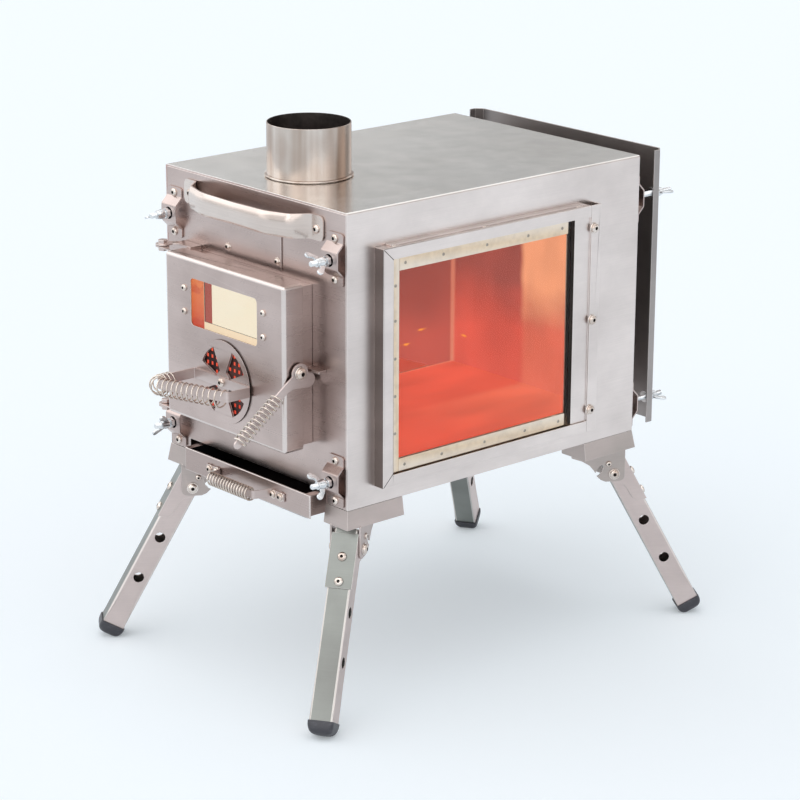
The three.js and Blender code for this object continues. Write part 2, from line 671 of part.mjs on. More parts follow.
function windowScrews() {
  const middle = (WINDOW_TOP + WINDOW_LOW) / 2;
  const heads = [];
  [-1, 1].forEach((x) => {
    [-1, 1].forEach((z) => {
      const place = [x * (WINDOW_HALF + 10.4), middle + z * WINDOW_HEIGHT / 4];
      heads.push(rod('y', place, 3, DOOR_FRONT - 1.8, DOOR_FRONT + 0.5, 8));
    });
  });
  return heads;
}

function doorPan() {
  const outer = block(-DOOR_HALF, DOOR_HALF, DOOR_FRONT, DOOR_REAR, DOOR_BOTTOM, DOOR_TOP);
  const inner = block(
    -DOOR_HALF + SHEET, DOOR_HALF - SHEET,
    DOOR_INSIDE, DOOR_REAR + OVERRUN,
    DOOR_BOTTOM + SHEET, DOOR_TOP - SHEET,
  );
  const front = DOOR_FRONT - OVERRUN;
  const behind = DOOR_INSIDE + OVERRUN;
  const window = roundedRectangle(-WINDOW_HALF, WINDOW_HALF, WINDOW_LOW, WINDOW_TOP, WINDOW_CORNER);
  const shaftHole = rod('y', [0, DAMPER_Z], BOLT_RADIUS + FIT, front, behind);
  const wallInside = DOOR_HALF - SHEET;
  const latchAxis = [LATCH_Y, LATCH_Z];
  const latchHole = rod('x', latchAxis, BOLT_RADIUS + FIT, wallInside - OVERRUN, DOOR_HALF + OVERRUN);
  const pane = extrudeY(window, front, behind, 3);
  const wedges = damperWedges(front, behind);
  const shell = cut(outer, inner, pane, shaftHole, latchHole, ...wedges);
  return join(shell, doorEar(DOOR_TOP - SHEET), doorEar(DOOR_BOTTOM), ...windowScrews());
}

// The inner sheet of the door, near its rear edge, with openings for light and air.
function doorLiner() {
  const half = DOOR_HALF - SHEET - FIT;
  const low = DOOR_BOTTOM + SHEET + FIT;
  const top = DOOR_TOP - SHEET - FIT;
  const rear = DOOR_REAR - 4;
  const sheet = block(-half, half, rear - SHEET, rear, low, top);
  const front = rear - SHEET - OVERRUN;
  const sight = block(-WINDOW_HALF, WINDOW_HALF, front, rear + OVERRUN, WINDOW_LOW, WINDOW_TOP);
  const air = [-2, -1, 0, 1, 2].map((i) => {
    const x = i * WEDGE_OUTER * 0.45;
    return block(x - 4, x + 4, front, rear + OVERRUN, DAMPER_Z - WEDGE_OUTER, DAMPER_Z + WEDGE_OUTER);
  });
  const room = BOLT_HEAD + FIT;
  const nutEnd = half - BOLT_HEAD_HEIGHT - FIT;
  const latchSpan = [LATCH_Z - room, LATCH_Z + room];
  const latchRoom = block(nutEnd, half + OVERRUN, front, rear + OVERRUN, ...latchSpan);
  return cut(sheet, sight, latchRoom, ...air);
}

function doorGlass() {
  const half = WINDOW_HALF + GLASS_LAP;
  const front = DOOR_INSIDE + FIT;
  const height = [WINDOW_LOW - GLASS_LAP, WINDOW_TOP + GLASS_LAP];
  return block(-half, half, front, front + GLASS_THICKNESS, ...height);
}

// The pierced plate behind the air wedges, square holes wherever a wedge uncovers it.
function airMeshPlate() {
  const rear = MESH_FRONT + MESH_PLATE;
  const height = [DAMPER_Z - MESH_HALF, DAMPER_Z + MESH_HALF];
  const plate = block(-MESH_HALF, MESH_HALF, MESH_FRONT, rear, ...height);
  const reach = Math.floor(WEDGE_OUTER / MESH_PITCH);
  const half = MESH_HOLE / 2;
  const through = [MESH_FRONT - OVERRUN, rear + OVERRUN];
  const holes = [rod('y', [0, DAMPER_Z], BOLT_RADIUS + FIT, ...through)];
  for (let row = -reach; row <= reach; row += 1) {
    for (let column = -reach; column <= reach; column += 1) {
      const x = column * MESH_PITCH;
      const rise = row * MESH_PITCH;
      const radius = Math.hypot(x, rise);
      const fromDiagonal = Math.abs(Math.abs(THREE.MathUtils.radToDeg(Math.atan2(rise, x))) % 90 - 45);
      if (radius > DAMPER_HUB && radius < WEDGE_OUTER && fromDiagonal < WEDGE_ANGLE / 2 + 4) {
        const z = DAMPER_Z + rise;
        holes.push(block(x - half, x + half, ...through, z - half, z + half));
      }
    }
  }
  return cut(plate, ...holes);
}

// Corners of the damper's strap handle, seen from above, with their bend radii.
function strapCorners() {
  return [
    [STRAP_RIGHT, STRAP_REAR, 2],
    [STRAP_RIGHT, STRAP_FRONT_RIGHT, 4],
    [STRAP_LEFT, STRAP_FRONT_LEFT, 11],
    [STRAP_LEFT, STRAP_REAR, 2],
  ];
}

function damperDisc() {
  const disc = rod('y', [0, DAMPER_Z], DAMPER_RADIUS, DISC_FRONT, DISC_REAR, 32);
  const open = cut(disc, ...damperWedges(DISC_FRONT - OVERRUN, DISC_REAR + OVERRUN));
  const ring = stripShape(bentLine(strapCorners(), true), SHEET, true);
  const strap = extrudeZ(ring, DAMPER_Z - STRAP_HEIGHT / 2, DAMPER_Z + STRAP_HEIGHT / 2);
  const centre = [0, DAMPER_Z];
  const nutFace = MESH_FRONT + MESH_PLATE + FIT;
  const head = rod('y', centre, BOLT_HEAD, DISC_FRONT - SHEET - 3, DISC_FRONT - 0.5);
  const shaft = rod('y', centre, BOLT_RADIUS, DISC_FRONT, nutFace + BOLT_HEAD_HEIGHT);
  const nut = rod('y', centre, BOLT_HEAD, nutFace, nutFace + BOLT_HEAD_HEIGHT, 6);
  return join(open, strap, head, shaft, nut);
}

function damperSpring() {
  const radius = 8.2;
  const wire = 1.8;
  const z = DAMPER_Z - springDrop(radius, wire, STRAP_HEIGHT / 2 + 0.05);
  const right = new THREE.Vector3(STRAP_RIGHT, STRAP_FRONT_RIGHT, z);
  const left = new THREE.Vector3(STRAP_LEFT, STRAP_FRONT_LEFT, z);
  const from = right.clone().lerp(left, 0.14);
  const to = right.clone().lerp(left, 0.86);
  return spring(new THREE.LineCurve3(to, from), new THREE.Vector3(0, 0, 1), radius, wire, 9);
}

// ---- Latch ---------------------------------------------------------------------------------

function latchDirections() {
  const slope = THREE.MathUtils.degToRad(LATCH_SLOPE);
  const along = new THREE.Vector2(-Math.cos(slope), -Math.sin(slope));
  return { slope, along, across: new THREE.Vector2(-along.y, along.x) };
}

function latchLever() {
  const { slope, along, across } = latchDirections();
  const pivot = new THREE.Vector2(LATCH_Y, LATCH_Z);
  const half = LATCH_WIDTH / 2;
  const neck = Math.asin(half / LATCH_HEAD);
  const towardTip = Math.PI + slope;
  const tip = pivot.clone().addScaledVector(along, LATCH_LENGTH - half);
  const lobeTop = KEEPER_LOW - FIT;
  const lobeRear = -LATCH_LOBE_GAP;
  const notch = Math.asin((lobeTop - LATCH_Z) / LATCH_HEAD);
  const shape = new THREE.Shape();
  shape.absarc(tip.x, tip.y, half, towardTip + Math.PI / 2, towardTip - Math.PI / 2, true);
  shape.absarc(pivot.x, pivot.y, LATCH_HEAD, towardTip - neck, notch, true);
  shape.lineTo(lobeRear, lobeTop);
  shape.lineTo(lobeRear, lobeTop - LATCH_LOBE_DROP + 6);
  const lobeLow = lobeTop - LATCH_LOBE_DROP;
  shape.quadraticCurveTo(lobeRear - 1, lobeLow, lobeRear - 9, lobeLow);
  const joint = pivot.clone().addScaledVector(along, LATCH_HEAD + 6).addScaledVector(across, half);
  shape.lineTo(joint.x, joint.y);
  shape.closePath();
  const from = LATCH_INSIDE - OVERRUN;
  const hole = rod('x', [LATCH_Y, LATCH_Z], BOLT_RADIUS + FIT, from, LATCH_OUTSIDE + OVERRUN);
  return cut(extrudeX(shape, LATCH_INSIDE, LATCH_OUTSIDE, 4), hole);
}

function latchSpring() {
  const { along } = latchDirections();
  const radius = 6.8;
  const wire = 1.6;
  const x = (LATCH_INSIDE + LATCH_OUTSIDE) / 2;
  const drop = springDrop(radius, wire, LATCH_WIDTH / 2 + 0.1);
  const at = (distance) => new THREE.Vector3(
    x, LATCH_Y + along.x * distance, LATCH_Z + along.y * distance - drop * Math.abs(along.x),
  );
  const slack = new THREE.LineCurve3(at(36), at(LATCH_LENGTH - 9));
  return spring(slack, new THREE.Vector3(1, 0, 0), radius, wire, 8);
}

function latchScrew() {
  const axis = [LATCH_Y, LATCH_Z];
  const inside = DOOR_HALF - SHEET - FIT;
  const outside = LATCH_OUTSIDE + FIT;
  const nut = rod('x', axis, BOLT_HEAD, inside - BOLT_HEAD_HEIGHT, inside, 6);
  const shaft = rod('x', axis, BOLT_RADIUS, inside - 1, outside + 1);
  const spacer = rod('x', axis, BOLT_HEAD, DOOR_HALF + FIT, LATCH_INSIDE - FIT);
  const head = rod('x', axis, BOLT_HEAD + 0.5, outside, outside + 3);
  return join(nut, shaft, spacer, head);
}

// ---- Ash drawer ----------------------------------------------------------------------------

function ashDrawer() {
  const front = -DRAWER_PROUD;
  const rear = front + DRAWER_DEPTH;
  const left = DRAWER_LEFT + DRAWER_FLANGE;
  const right = DRAWER_RIGHT - DRAWER_FLANGE;
  const face = block(DRAWER_LEFT, DRAWER_RIGHT, front, front + SHEET, DRAWER_BOTTOM, DRAWER_TOP);
  const tray = cut(
    block(left, right, front, rear, DRAWER_BOTTOM, DRAWER_TOP),
    block(
      left + DRAWER_SHEET, right - DRAWER_SHEET,
      front + SHEET, rear - DRAWER_SHEET,
      DRAWER_BOTTOM + DRAWER_SHEET, DRAWER_TOP + OVERRUN,
    ),
  );
  const flangeLow = DRAWER_TOP - SHEET;
  const leftFlange = block(DRAWER_LEFT, left + 0.5, front, rear, flangeLow, DRAWER_TOP);
  const rightFlange = block(right - 0.5, DRAWER_RIGHT, front, rear, flangeLow, DRAWER_TOP);
  return join(face, tray, leftFlange, rightFlange);
}

const DRAWER_GRIP = {
  half: 42, // from the middle to the end of each foot
  foot: 24,
  height: 9,
  bow: 19,
  z: DRAWER_TOP - DRAWER_HEIGHT / 2,
};

function drawerHandle() {
  const { half, foot, height, bow, z } = DRAWER_GRIP;
  const rear = -DRAWER_PROUD - FIT - SHEET / 2;
  const corners = [
    [-half - foot, rear],
    [-half, rear, 3],
    [-half + 4, rear - bow, 5],
    [half - 4, rear - bow, 5],
    [half, rear, 3],
    [half + foot, rear],
  ].map(([x, y, radius]) => [x + DRAWER_SHIFT, y, radius]);
  const bar = extrudeZ(stripShape(bentLine(corners), SHEET), z - height / 2, z + height / 2);
  const heads = [-1, 1].flatMap((side) => [0.25, 0.75].map((part) => {
    const x = DRAWER_SHIFT + side * (half + foot * part);
    const face = rear - SHEET / 2;
    return rod('y', [x, z], 3.4, face - 2, face + 0.5, 8);
  }));
  return join(bar, ...heads);
}

function drawerSpring() {
  const { half, height, bow, z } = DRAWER_GRIP;
  const radius = 6.6;
  const wire = 1.5;
  const y = -DRAWER_PROUD - FIT - SHEET / 2 - bow;
  const low = z - springDrop(radius, wire, height / 2 + 0.1);
  const end = half - 9;
  const from = new THREE.Vector3(DRAWER_SHIFT - end, y, low);
  const to = new THREE.Vector3(DRAWER_SHIFT + end, y, low);
  return spring(new THREE.LineCurve3(from, to), new THREE.Vector3(0, 0, 1), radius, wire, 8);
}

// ---- Studs, wing nuts and heat shield ------------------------------------------------------

// A hat-shaped bracket on a panel that faces -y, with its two screws, its stud and a hex nut.
function studBracket(nutSeat, studLength) {
  const foot = -FIT - SHEET / 2;
  const raised = foot - BRACKET_RISE;
  const end = BRACKET_HEIGHT / 2;
  const line = [
    [foot, -end], [foot, -BRACKET_FOOT], [raised, -BRACKET_FLAT],
    [raised, BRACKET_FLAT], [foot, BRACKET_FOOT], [foot, end],
  ].map(([y, z]) => new THREE.Vector2(y, z));
  const half = BRACKET_WIDTH / 2;
  const hat = extrudeX(stripShape(line, SHEET), -half, half);
  const face = foot - SHEET / 2;
  const screw = (z) => rod('y', [0, z], SCREW_HEAD, face - SCREW_HEAD_HEIGHT, face + 0.5, 8);
  const stud = rod('y', [0, 0], STUD_RADIUS, -studLength, raised + 3, 8);
  const nut = rod('y', [0, 0], BOLT_HEAD, -nutSeat - HEX_NUT_HEIGHT, -nutSeat, 6);
  return join(hat, screw(SCREW_SPREAD), screw(-SCREW_SPREAD), stud, nut);
}

// A wing nut seated on y = 0, its wings leaning away towards -y.
function wingNut() {
  const barrel = rod('y', [0, 0], WING_NUT_RADIUS, -WING_NUT_HEIGHT, 0);
  const root = WING_NUT_RADIUS - 1.5;
  const wing = (side) => {
    const points = [
      [root, -1], [WING_SPAN - 6, -3], [WING_SPAN - 1, -8], [WING_SPAN, -13],
      [WING_SPAN - 2, -15.5], [WING_SPAN - 5.5, -14.5], [WING_SPAN - 8, -10], [root, -WING_NUT_HEIGHT + 0.6],
    ];
    return extrudeZ(outline(points.map(([x, y]) => [side * x, y])), -1.2, 1.2);
  };
  const bore = rod('y', [0, 0], STUD_RADIUS + FIT, -WING_NUT_HEIGHT - OVERRUN, OVERRUN);
  return cut(join(barrel, wing(1), wing(-1)), bore);
}

function heatShield() {
  const inner = BODY_DEPTH + SHIELD_GAP;
  const rear = inner + SHEET / 2;
  const flange = rear + SHEET / 2 - SHIELD_FLANGE;
  const side = SHIELD_HALF - SHEET / 2;
  const half = [[-side, flange], [-side, rear - SHIELD_FOLD], [-side + SHIELD_FOLD, rear]];
  const line = [...half, ...half.map(([x, y]) => [-x, y]).reverse()];
  const strip = stripShape(line.map(([x, y]) => new THREE.Vector2(x, y)), SHEET);
  const holes = [STUD_HIGH, STUD_LOW_HEIGHT].flatMap((z) => SIDES.map(({ x }) => {
    const place = [x * REAR_STUD_X, z];
    return rod('y', place, STUD_RADIUS + FIT, inner - OVERRUN, inner + SHEET + OVERRUN);
  }));
  return cut(extrudeZ(strip, SHIELD_LOW, SHIELD_TOP), ...holes);
}

// ---- Side windows --------------------------------------------------------------------------

// A block on one side of the body: distances are from the middle plane outwards.
function sideBlock(side, near, far, y0, y1, z0, z1) {
  return block(Math.min(side * near, side * far), Math.max(side * near, side * far), y0, y1, z0, z1);
}

// A channel along the front, top and bottom; it is open at the rear, where the glass goes in.
function windowFrame(side) {
  const face = PANE_OUTSIDE - SHEET;
  const rear = PANE_CLAMP_FRONT - FIT;
  const front = PANE_FRAME_FRONT;
  const low = PANE_FRAME_LOW;
  const top = PANE_FRAME_TOP;
  return join(
    sideBlock(side, PANE_INSIDE, PANE_OUTSIDE, front, front + SHEET, low, top),
    sideBlock(side, face, PANE_OUTSIDE, front, front + PANE_FRAME_FACE, low, top),
    sideBlock(side, PANE_INSIDE, PANE_OUTSIDE, front, rear, top - SHEET, top),
    sideBlock(side, face, PANE_OUTSIDE, front, rear, top - PANE_FRAME_RAIL, top),
    sideBlock(side, PANE_INSIDE, PANE_OUTSIDE, front, rear, low, low + SHEET),
    sideBlock(side, face, PANE_OUTSIDE, front, rear, low, low + PANE_FRAME_RAIL),
  );
}

function windowGlass(side) {
  const front = PANE_FRAME_FRONT + SHEET + FIT;
  const low = PANE_FRAME_LOW + SHEET + FIT;
  const top = PANE_FRAME_TOP - SHEET - FIT;
  return sideBlock(side, GLASS_INSIDE, GLASS_OUTSIDE, front, PANE_CLAMP_FRONT - FIT, low, top);
}

// The channel that shuts the window's rear end, with a lip over the glass and three screws.
function windowClamp(side) {
  const front = PANE_CLAMP_FRONT;
  const rear = PANE_FRAME_REAR;
  const low = PANE_FRAME_LOW;
  const top = PANE_FRAME_TOP;
  const lipInside = GLASS_OUTSIDE + FIT;
  const innerLow = low + SHEET + FIT;
  const innerTop = top - SHEET - FIT;
  const screws = [low + CLAMP_SCREW_INSET, (low + top) / 2, top - CLAMP_SCREW_INSET].map((z) => {
    const ends = [side * PANE_INSIDE, side * (PANE_OUTSIDE + SCREW_HEAD_HEIGHT)];
    const head = [side * (PANE_OUTSIDE - 0.5), ends[1]];
    const y = (front + rear) / 2;
    return join(
      rod('x', [y, z], 2.5, Math.min(...ends), Math.max(...ends), 8),
      rod('x', [y, z], SCREW_HEAD, Math.min(...head), Math.max(...head)),
    );
  });
  return join(
    sideBlock(side, PANE_OUTSIDE - SHEET, PANE_OUTSIDE, front, rear, low, top),
    sideBlock(side, PANE_INSIDE, PANE_OUTSIDE, rear - SHEET, rear, low, top),
    sideBlock(side, lipInside, PANE_OUTSIDE, front, front + SHEET, innerLow, innerTop),
    sideBlock(side, lipInside, lipInside + SHEET, front - CLAMP_LIP, front + SHEET, innerLow, innerTop),
    ...screws,
  );
}

// ---- Legs ----------------------------------------------------------------------------------

// [x0, x1, y0, y1] of a rectangle measured inwards from one corner of the body.
function cornerRectangle(corner, x0, x1, y0, y1) {
  const xs = [x0, x1].map((inset) => corner.x * (HALF_WIDTH - inset));
  const ys = [y0, y1].map((inset) => BODY_DEPTH / 2 + corner.y * (BODY_DEPTH / 2 - inset));
  return [Math.min(...xs), Math.max(...xs), Math.min(...ys), Math.max(...ys)];
}

function legPlace(corner) {
  const x = corner.x * (HALF_WIDTH - LEG_CORNER_X);
  const y = BODY_DEPTH / 2 + corner.y * (BODY_DEPTH / 2 - LEG_CORNER_Y);
  const angle = Math.atan2(corner.y * Math.cos(LEG_ANGLE), corner.x * Math.sin(LEG_ANGLE));
  return { x, y, angle };
}

// The ear plates in the leg's radial plane: x outwards, z up, y across.
function legEars() {
  const top = -LEG_BOX_HEIGHT + 1;
  const shape = new THREE.Shape();
  shape.moveTo(12, top);
  shape.lineTo(12, -LEG_PIVOT_DROP - 4);
  shape.quadraticCurveTo(11, -LEG_PIVOT_DROP - 9, 4, -LEG_PIVOT_DROP - 9);
  shape.lineTo(-10, -LEG_PIVOT_DROP - 9);
  shape.quadraticCurveTo(-19, -LEG_PIVOT_DROP - 7, -23, -LEG_PIVOT_DROP + 4);
  shape.quadraticCurveTo(-29, -LEG_PIVOT_DROP + 15, -49, -LEG_BOX_HEIGHT - 7);
  shape.lineTo(-49, top);
  shape.closePath();
  const eye = new THREE.Shape();
  eye.absellipse(-17, -LEG_PIVOT_DROP + 4.5, 3.2, 8, 0, Math.PI * 2, false, -0.55);
  const slot = extrudeY(eye, -EAR_OUTSIDE - OVERRUN, EAR_OUTSIDE + OVERRUN, 4);
  const pin = rod('y', [0, -LEG_PIVOT_DROP], PIVOT_RADIUS, -EAR_OUTSIDE - 1, EAR_OUTSIDE + 1);
  const parts = [pin];
  [-1, 1].forEach((side) => {
    const plate = [side * EAR_INSIDE, side * EAR_OUTSIDE];
    parts.push(geometryOf(cut(extrudeY(shape, Math.min(...plate), Math.max(...plate), 3), slot.clone())));
    const head = [side * (EAR_OUTSIDE - 0.5), side * (EAR_OUTSIDE + 3)];
    parts.push(rod('y', [0, -LEG_PIVOT_DROP], 6, Math.min(...head), Math.max(...head)));
  });
  return parts;
}

function legBracket(corner) {
  const flare = LEG_BOX_FLARE;
  const shell = (inset, low, high) => taper(
    cornerRectangle(corner, inset - flare, LEG_BOX_WIDTH - inset, inset - flare, LEG_BOX_DEPTH - inset),
    cornerRectangle(corner, inset, LEG_BOX_WIDTH - inset, inset, LEG_BOX_DEPTH - inset),
    low, high,
  );
  const outer = shell(0, -LEG_BOX_HEIGHT, -FIT);
  const hollow = shell(SHEET, -LEG_BOX_HEIGHT + SHEET, OVERRUN);
  const { x, y, angle } = legPlace(corner);
  const turned = legEars().map((part) => part.rotateZ(angle).translate(x, y, 0));
  return join(cut(outer, hollow), ...turned);
}

// In a leg's own frame the pivot is the origin, x points away from the stove across the leg,
// y along the pivot, and the leg runs down along -z.
function legTube() {
  const half = LEG_TUBE / 2;
  const inner = half - LEG_WALL;
  const end = -LEG_LENGTH - CAP_SOCKET + FIT;
  const top = LEG_ABOVE_PIVOT;
  const wall = block(LEG_OFFSET - half, LEG_OFFSET + half, -half, half, end, top);
  const across = [LEG_OFFSET - inner, LEG_OFFSET + inner];
  const hollow = block(...across, -inner, inner, end - OVERRUN, top - LEG_WALL);
  const holes = [0, 1].map((i) => {
    const z = -LEG_HOLE_FIRST - i * LEG_HOLE_PITCH;
    return rod('y', [LEG_OFFSET, z], LEG_HOLE_RADIUS, -half - OVERRUN, half + OVERRUN, 12);
  });
  const pivot = rod('y', [0, 0], PIVOT_RADIUS + FIT, -half - OVERRUN, half + OVERRUN);
  return cut(wall, hollow, pivot, ...holes);
}

function legChannel() {
  const inner = LEG_OFFSET + CHANNEL_INSIDE;
  const outer = LEG_OFFSET + CHANNEL_OUTSIDE;
  const low = -CHANNEL_BELOW_PIVOT;
  const top = CHANNEL_ABOVE_PIVOT;
  const shape = new THREE.Shape();
  shape.moveTo(outer, top);
  shape.lineTo(outer, low);
  shape.lineTo(outer - 8, low + 1.5);
  shape.quadraticCurveTo(LEG_OFFSET, low + 4, LEG_OFFSET, low + 12);
  shape.lineTo(LEG_OFFSET, low + 21);
  shape.quadraticCurveTo(LEG_OFFSET, low + 31, -3, low + 34);
  shape.quadraticCurveTo(-8.5, low + 37, -8.5, -3);
  shape.lineTo(-8.5, top - 8);
  shape.quadraticCurveTo(-8, top, -1, top);
  shape.closePath();
  const cheeks = [-1, 1].map((side) => {
    const ends = [side * CHANNEL_INSIDE, side * CHANNEL_OUTSIDE];
    return extrudeY(shape, Math.min(...ends), Math.max(...ends), 3);
  });
  const face = block(inner, outer, -CHANNEL_OUTSIDE, CHANNEL_OUTSIDE, low, top);
  const screws = [-12.8, -38.8].map((z) => rod('x', [0, z], 4.2, outer - 0.5, outer + 1.6, 8));
  const reach = CHANNEL_OUTSIDE + OVERRUN;
  const pivot = rod('y', [0, 0], PIVOT_RADIUS + FIT, -reach, reach);
  return cut(join(...cheeks, face, ...screws), pivot);
}

function footCap() {
  const socket = LEG_TUBE / 2 + FIT;
  const half = socket + CAP_WALL;
  const top = -LEG_LENGTH;
  const low = top - CAP_TIP;
  const square = (size) => [LEG_OFFSET - size, LEG_OFFSET + size, -size, size];
  const upper = taper(square(half), square(half), low + CAP_CHAMFER, top);
  const lower = taper(square(half - CAP_CHAMFER), square(half), low, low + CAP_CHAMFER + 0.01);
  const pocket = taper(square(socket), square(socket), top - CAP_SOCKET, top + OVERRUN);
  return cut(join(upper, lower), pocket);
}

// ---- Assembly ------------------------------------------------------------------------------

const stove = new THREE.Group();

function addBody() {
  addPiece(stove, 'body_wrap', geometryOf(bodyWrap()), STEEL);
  addPiece(stove, 'front_panel', geometryOf(frontPanel()), STEEL);
  addPiece(stove, 'back_panel', geometryOf(backPanel()), STEEL);
  addPiece(stove, 'firebox_floor', geometryOf(fireboxFloor()), STEEL);
  addPiece(stove, 'flue_collar', geometryOf(flueCollar()), STEEL);
  addPiece(stove, 'carry_handle', geometryOf(carryHandle()), BRIGHT_STEEL);
  addPiece(stove, 'badge_plate', geometryOf(badgePlate()), STEEL);
  addPiece(stove, 'door_frame', geometryOf(doorFrame()), STEEL);
}

function addDoor() {
  addPiece(stove, 'door_pan', geometryOf(doorPan()), STEEL);
  addPiece(stove, 'door_liner', geometryOf(doorLiner()), STEEL);
  addPiece(stove, 'door_glass', geometryOf(doorGlass()), PANE);
  addPiece(stove, 'air_mesh_plate', geometryOf(airMeshPlate()), PIERCED_STEEL);
  addPiece(stove, 'damper_disc', geometryOf(damperDisc()), STEEL);
  addPiece(stove, 'damper_spring', geometryOf(damperSpring()), BRIGHT_STEEL);
  addPiece(stove, 'latch_lever', geometryOf(latchLever()), STEEL);
  addPiece(stove, 'latch_spring', geometryOf(latchSpring()), BRIGHT_STEEL);
  addPiece(stove, 'latch_screw', geometryOf(latchScrew()), BRIGHT_STEEL);
}

function addDrawer() {
  addPiece(stove, 'ash_drawer', geometryOf(ashDrawer()), STEEL);
  addPiece(stove, 'drawer_handle', geometryOf(drawerHandle()), STEEL);
  addPiece(stove, 'drawer_spring', geometryOf(drawerSpring()), BRIGHT_STEEL);
}

function addWindows() {
  SIDES.forEach(({ name, x }) => {
    addPiece(stove, `window_frame_${name}`, geometryOf(windowFrame(x)), STEEL);
    addPiece(stove, `window_glass_${name}`, geometryOf(windowGlass(x)), PANE);
    addPiece(stove, `window_clamp_${name}`, geometryOf(windowClamp(x)), STEEL);
  });
}

// Turns of the eight wing nuts about their studs, in degrees, as they were last tightened.
const WING_TURNS = {
  front_upper_right: 35,
  front_upper_left: -20,
  front_lower_right: 50,
  front_lower_left: -55,
  rear_upper_right: 5,
  rear_upper_left: 70,
  rear_lower_right: -12,
  rear_lower_left: 25,
};

function addStuds() {
  const wing = geometryOf(wingNut());
  const levels = [{ name: 'upper', z: STUD_HIGH }, { name: 'lower', z: STUD_LOW_HEIGHT }];
  const shieldRear = SHIELD_GAP + SHEET;
  const rearLength = {
    upper: shieldRear + REAR_STUD_PAST_UPPER,
    lower: shieldRear + REAR_STUD_PAST_LOWER,
  };
  const nutAtShield = SHIELD_GAP - FIT - HEX_NUT_HEIGHT;
  levels.forEach((level) => {
    SIDES.forEach((side) => {
      const front = new THREE.Group();
      front.position.set(side.x * (HALF_WIDTH - FRONT_STUD_INSET), 0, level.z);
      stove.add(front);
      const rear = new THREE.Group();
      rear.position.set(side.x * REAR_STUD_X, BODY_DEPTH, level.z);
      rear.rotation.z = Math.PI;
      stove.add(rear);
      const place = `${level.name}_${side.name}`;
      const frontStud = studBracket(FRONT_NUT_SEAT, FRONT_STUD_LENGTH);
      const rearStud = studBracket(nutAtShield, rearLength[level.name]);
      addPiece(front, `stud_front_${place}`, geometryOf(frontStud), STEEL);
      addPiece(rear, `stud_rear_${place}`, geometryOf(rearStud), STEEL);
      const frontWing = addPiece(front, `wing_nut_front_${place}`, wing, ZINC);
      frontWing.position.y = -FRONT_WING_SEAT;
      frontWing.rotation.y = THREE.MathUtils.degToRad(WING_TURNS[`front_${place}`]);
      const rearWing = addPiece(rear, `wing_nut_rear_${place}`, wing, ZINC);
      rearWing.position.y = -shieldRear - FIT;
      rearWing.rotation.y = THREE.MathUtils.degToRad(WING_TURNS[`rear_${place}`]);
    });
  });
  addPiece(stove, 'heat_shield', geometryOf(heatShield()), DARK_STEEL);
}

function addLegs() {
  const tube = geometryOf(legTube());
  const channel = geometryOf(legChannel());
  const cap = geometryOf(footCap());
  CORNERS.forEach((corner) => {
    addPiece(stove, `leg_bracket_${corner.name}`, geometryOf(legBracket(corner)), STEEL);
    const { x, y, angle } = legPlace(corner);
    const plane = new THREE.Group();
    plane.position.set(x, y, -LEG_PIVOT_DROP);
    plane.rotation.z = angle;
    stove.add(plane);
    const leg = new THREE.Group();
    leg.rotation.y = -THREE.MathUtils.degToRad(LEG_SPLAY);
    plane.add(leg);
    addPiece(leg, `leg_tube_${corner.name}`, tube, LEG_STEEL);
    addPiece(leg, `leg_channel_${corner.name}`, channel, LEG_STEEL);
    addPiece(leg, `foot_cap_${corner.name}`, cap, CAP_RUBBER);
  });
}

addBody();
addDoor();
addDrawer();
addWindows();
addStuds();
addLegs();

// The origin goes to the middle of the ground rectangle under the whole stove.
stove.updateMatrixWorld(true);
const extent = new THREE.Box3().setFromObject(stove, true);
const middle = extent.getCenter(new THREE.Vector3());
stove.position.set(-middle.x, -middle.y, -extent.min.z);
stove.updateMatrixWorld(true);

export default stove;
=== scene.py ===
"""Tent wood stove of brushed stainless steel, finished in every visible surface.

Lengths are millimetres in the body's own frame until TO_METRES turns them into the shared one:
x to the stove's right, y to its back, z up, from the middle of the front face's lower edge.
"""
import math

import bmesh
import bpy
from mathutils import Matrix, Vector
from mathutils.geometry import tessellate_polygon


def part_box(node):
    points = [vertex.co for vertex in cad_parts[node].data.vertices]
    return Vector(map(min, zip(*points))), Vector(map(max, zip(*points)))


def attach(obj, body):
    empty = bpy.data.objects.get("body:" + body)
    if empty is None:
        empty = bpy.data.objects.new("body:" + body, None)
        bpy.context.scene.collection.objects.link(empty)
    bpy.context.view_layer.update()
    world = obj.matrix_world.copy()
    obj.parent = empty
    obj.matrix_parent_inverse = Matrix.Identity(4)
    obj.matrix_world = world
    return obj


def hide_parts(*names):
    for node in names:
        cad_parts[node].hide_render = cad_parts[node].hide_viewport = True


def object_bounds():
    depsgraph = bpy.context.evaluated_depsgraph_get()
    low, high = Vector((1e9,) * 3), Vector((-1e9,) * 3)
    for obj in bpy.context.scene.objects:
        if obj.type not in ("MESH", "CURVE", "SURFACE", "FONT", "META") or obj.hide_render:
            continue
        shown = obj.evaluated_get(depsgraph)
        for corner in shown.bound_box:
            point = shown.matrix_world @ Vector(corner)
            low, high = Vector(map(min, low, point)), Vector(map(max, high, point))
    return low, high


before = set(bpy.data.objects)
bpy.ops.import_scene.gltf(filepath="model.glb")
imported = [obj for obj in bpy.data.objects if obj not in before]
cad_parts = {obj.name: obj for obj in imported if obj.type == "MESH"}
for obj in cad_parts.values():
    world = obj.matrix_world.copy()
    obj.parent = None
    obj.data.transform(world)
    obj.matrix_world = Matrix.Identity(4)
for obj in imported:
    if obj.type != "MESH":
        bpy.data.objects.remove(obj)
cad_low, cad_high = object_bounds()

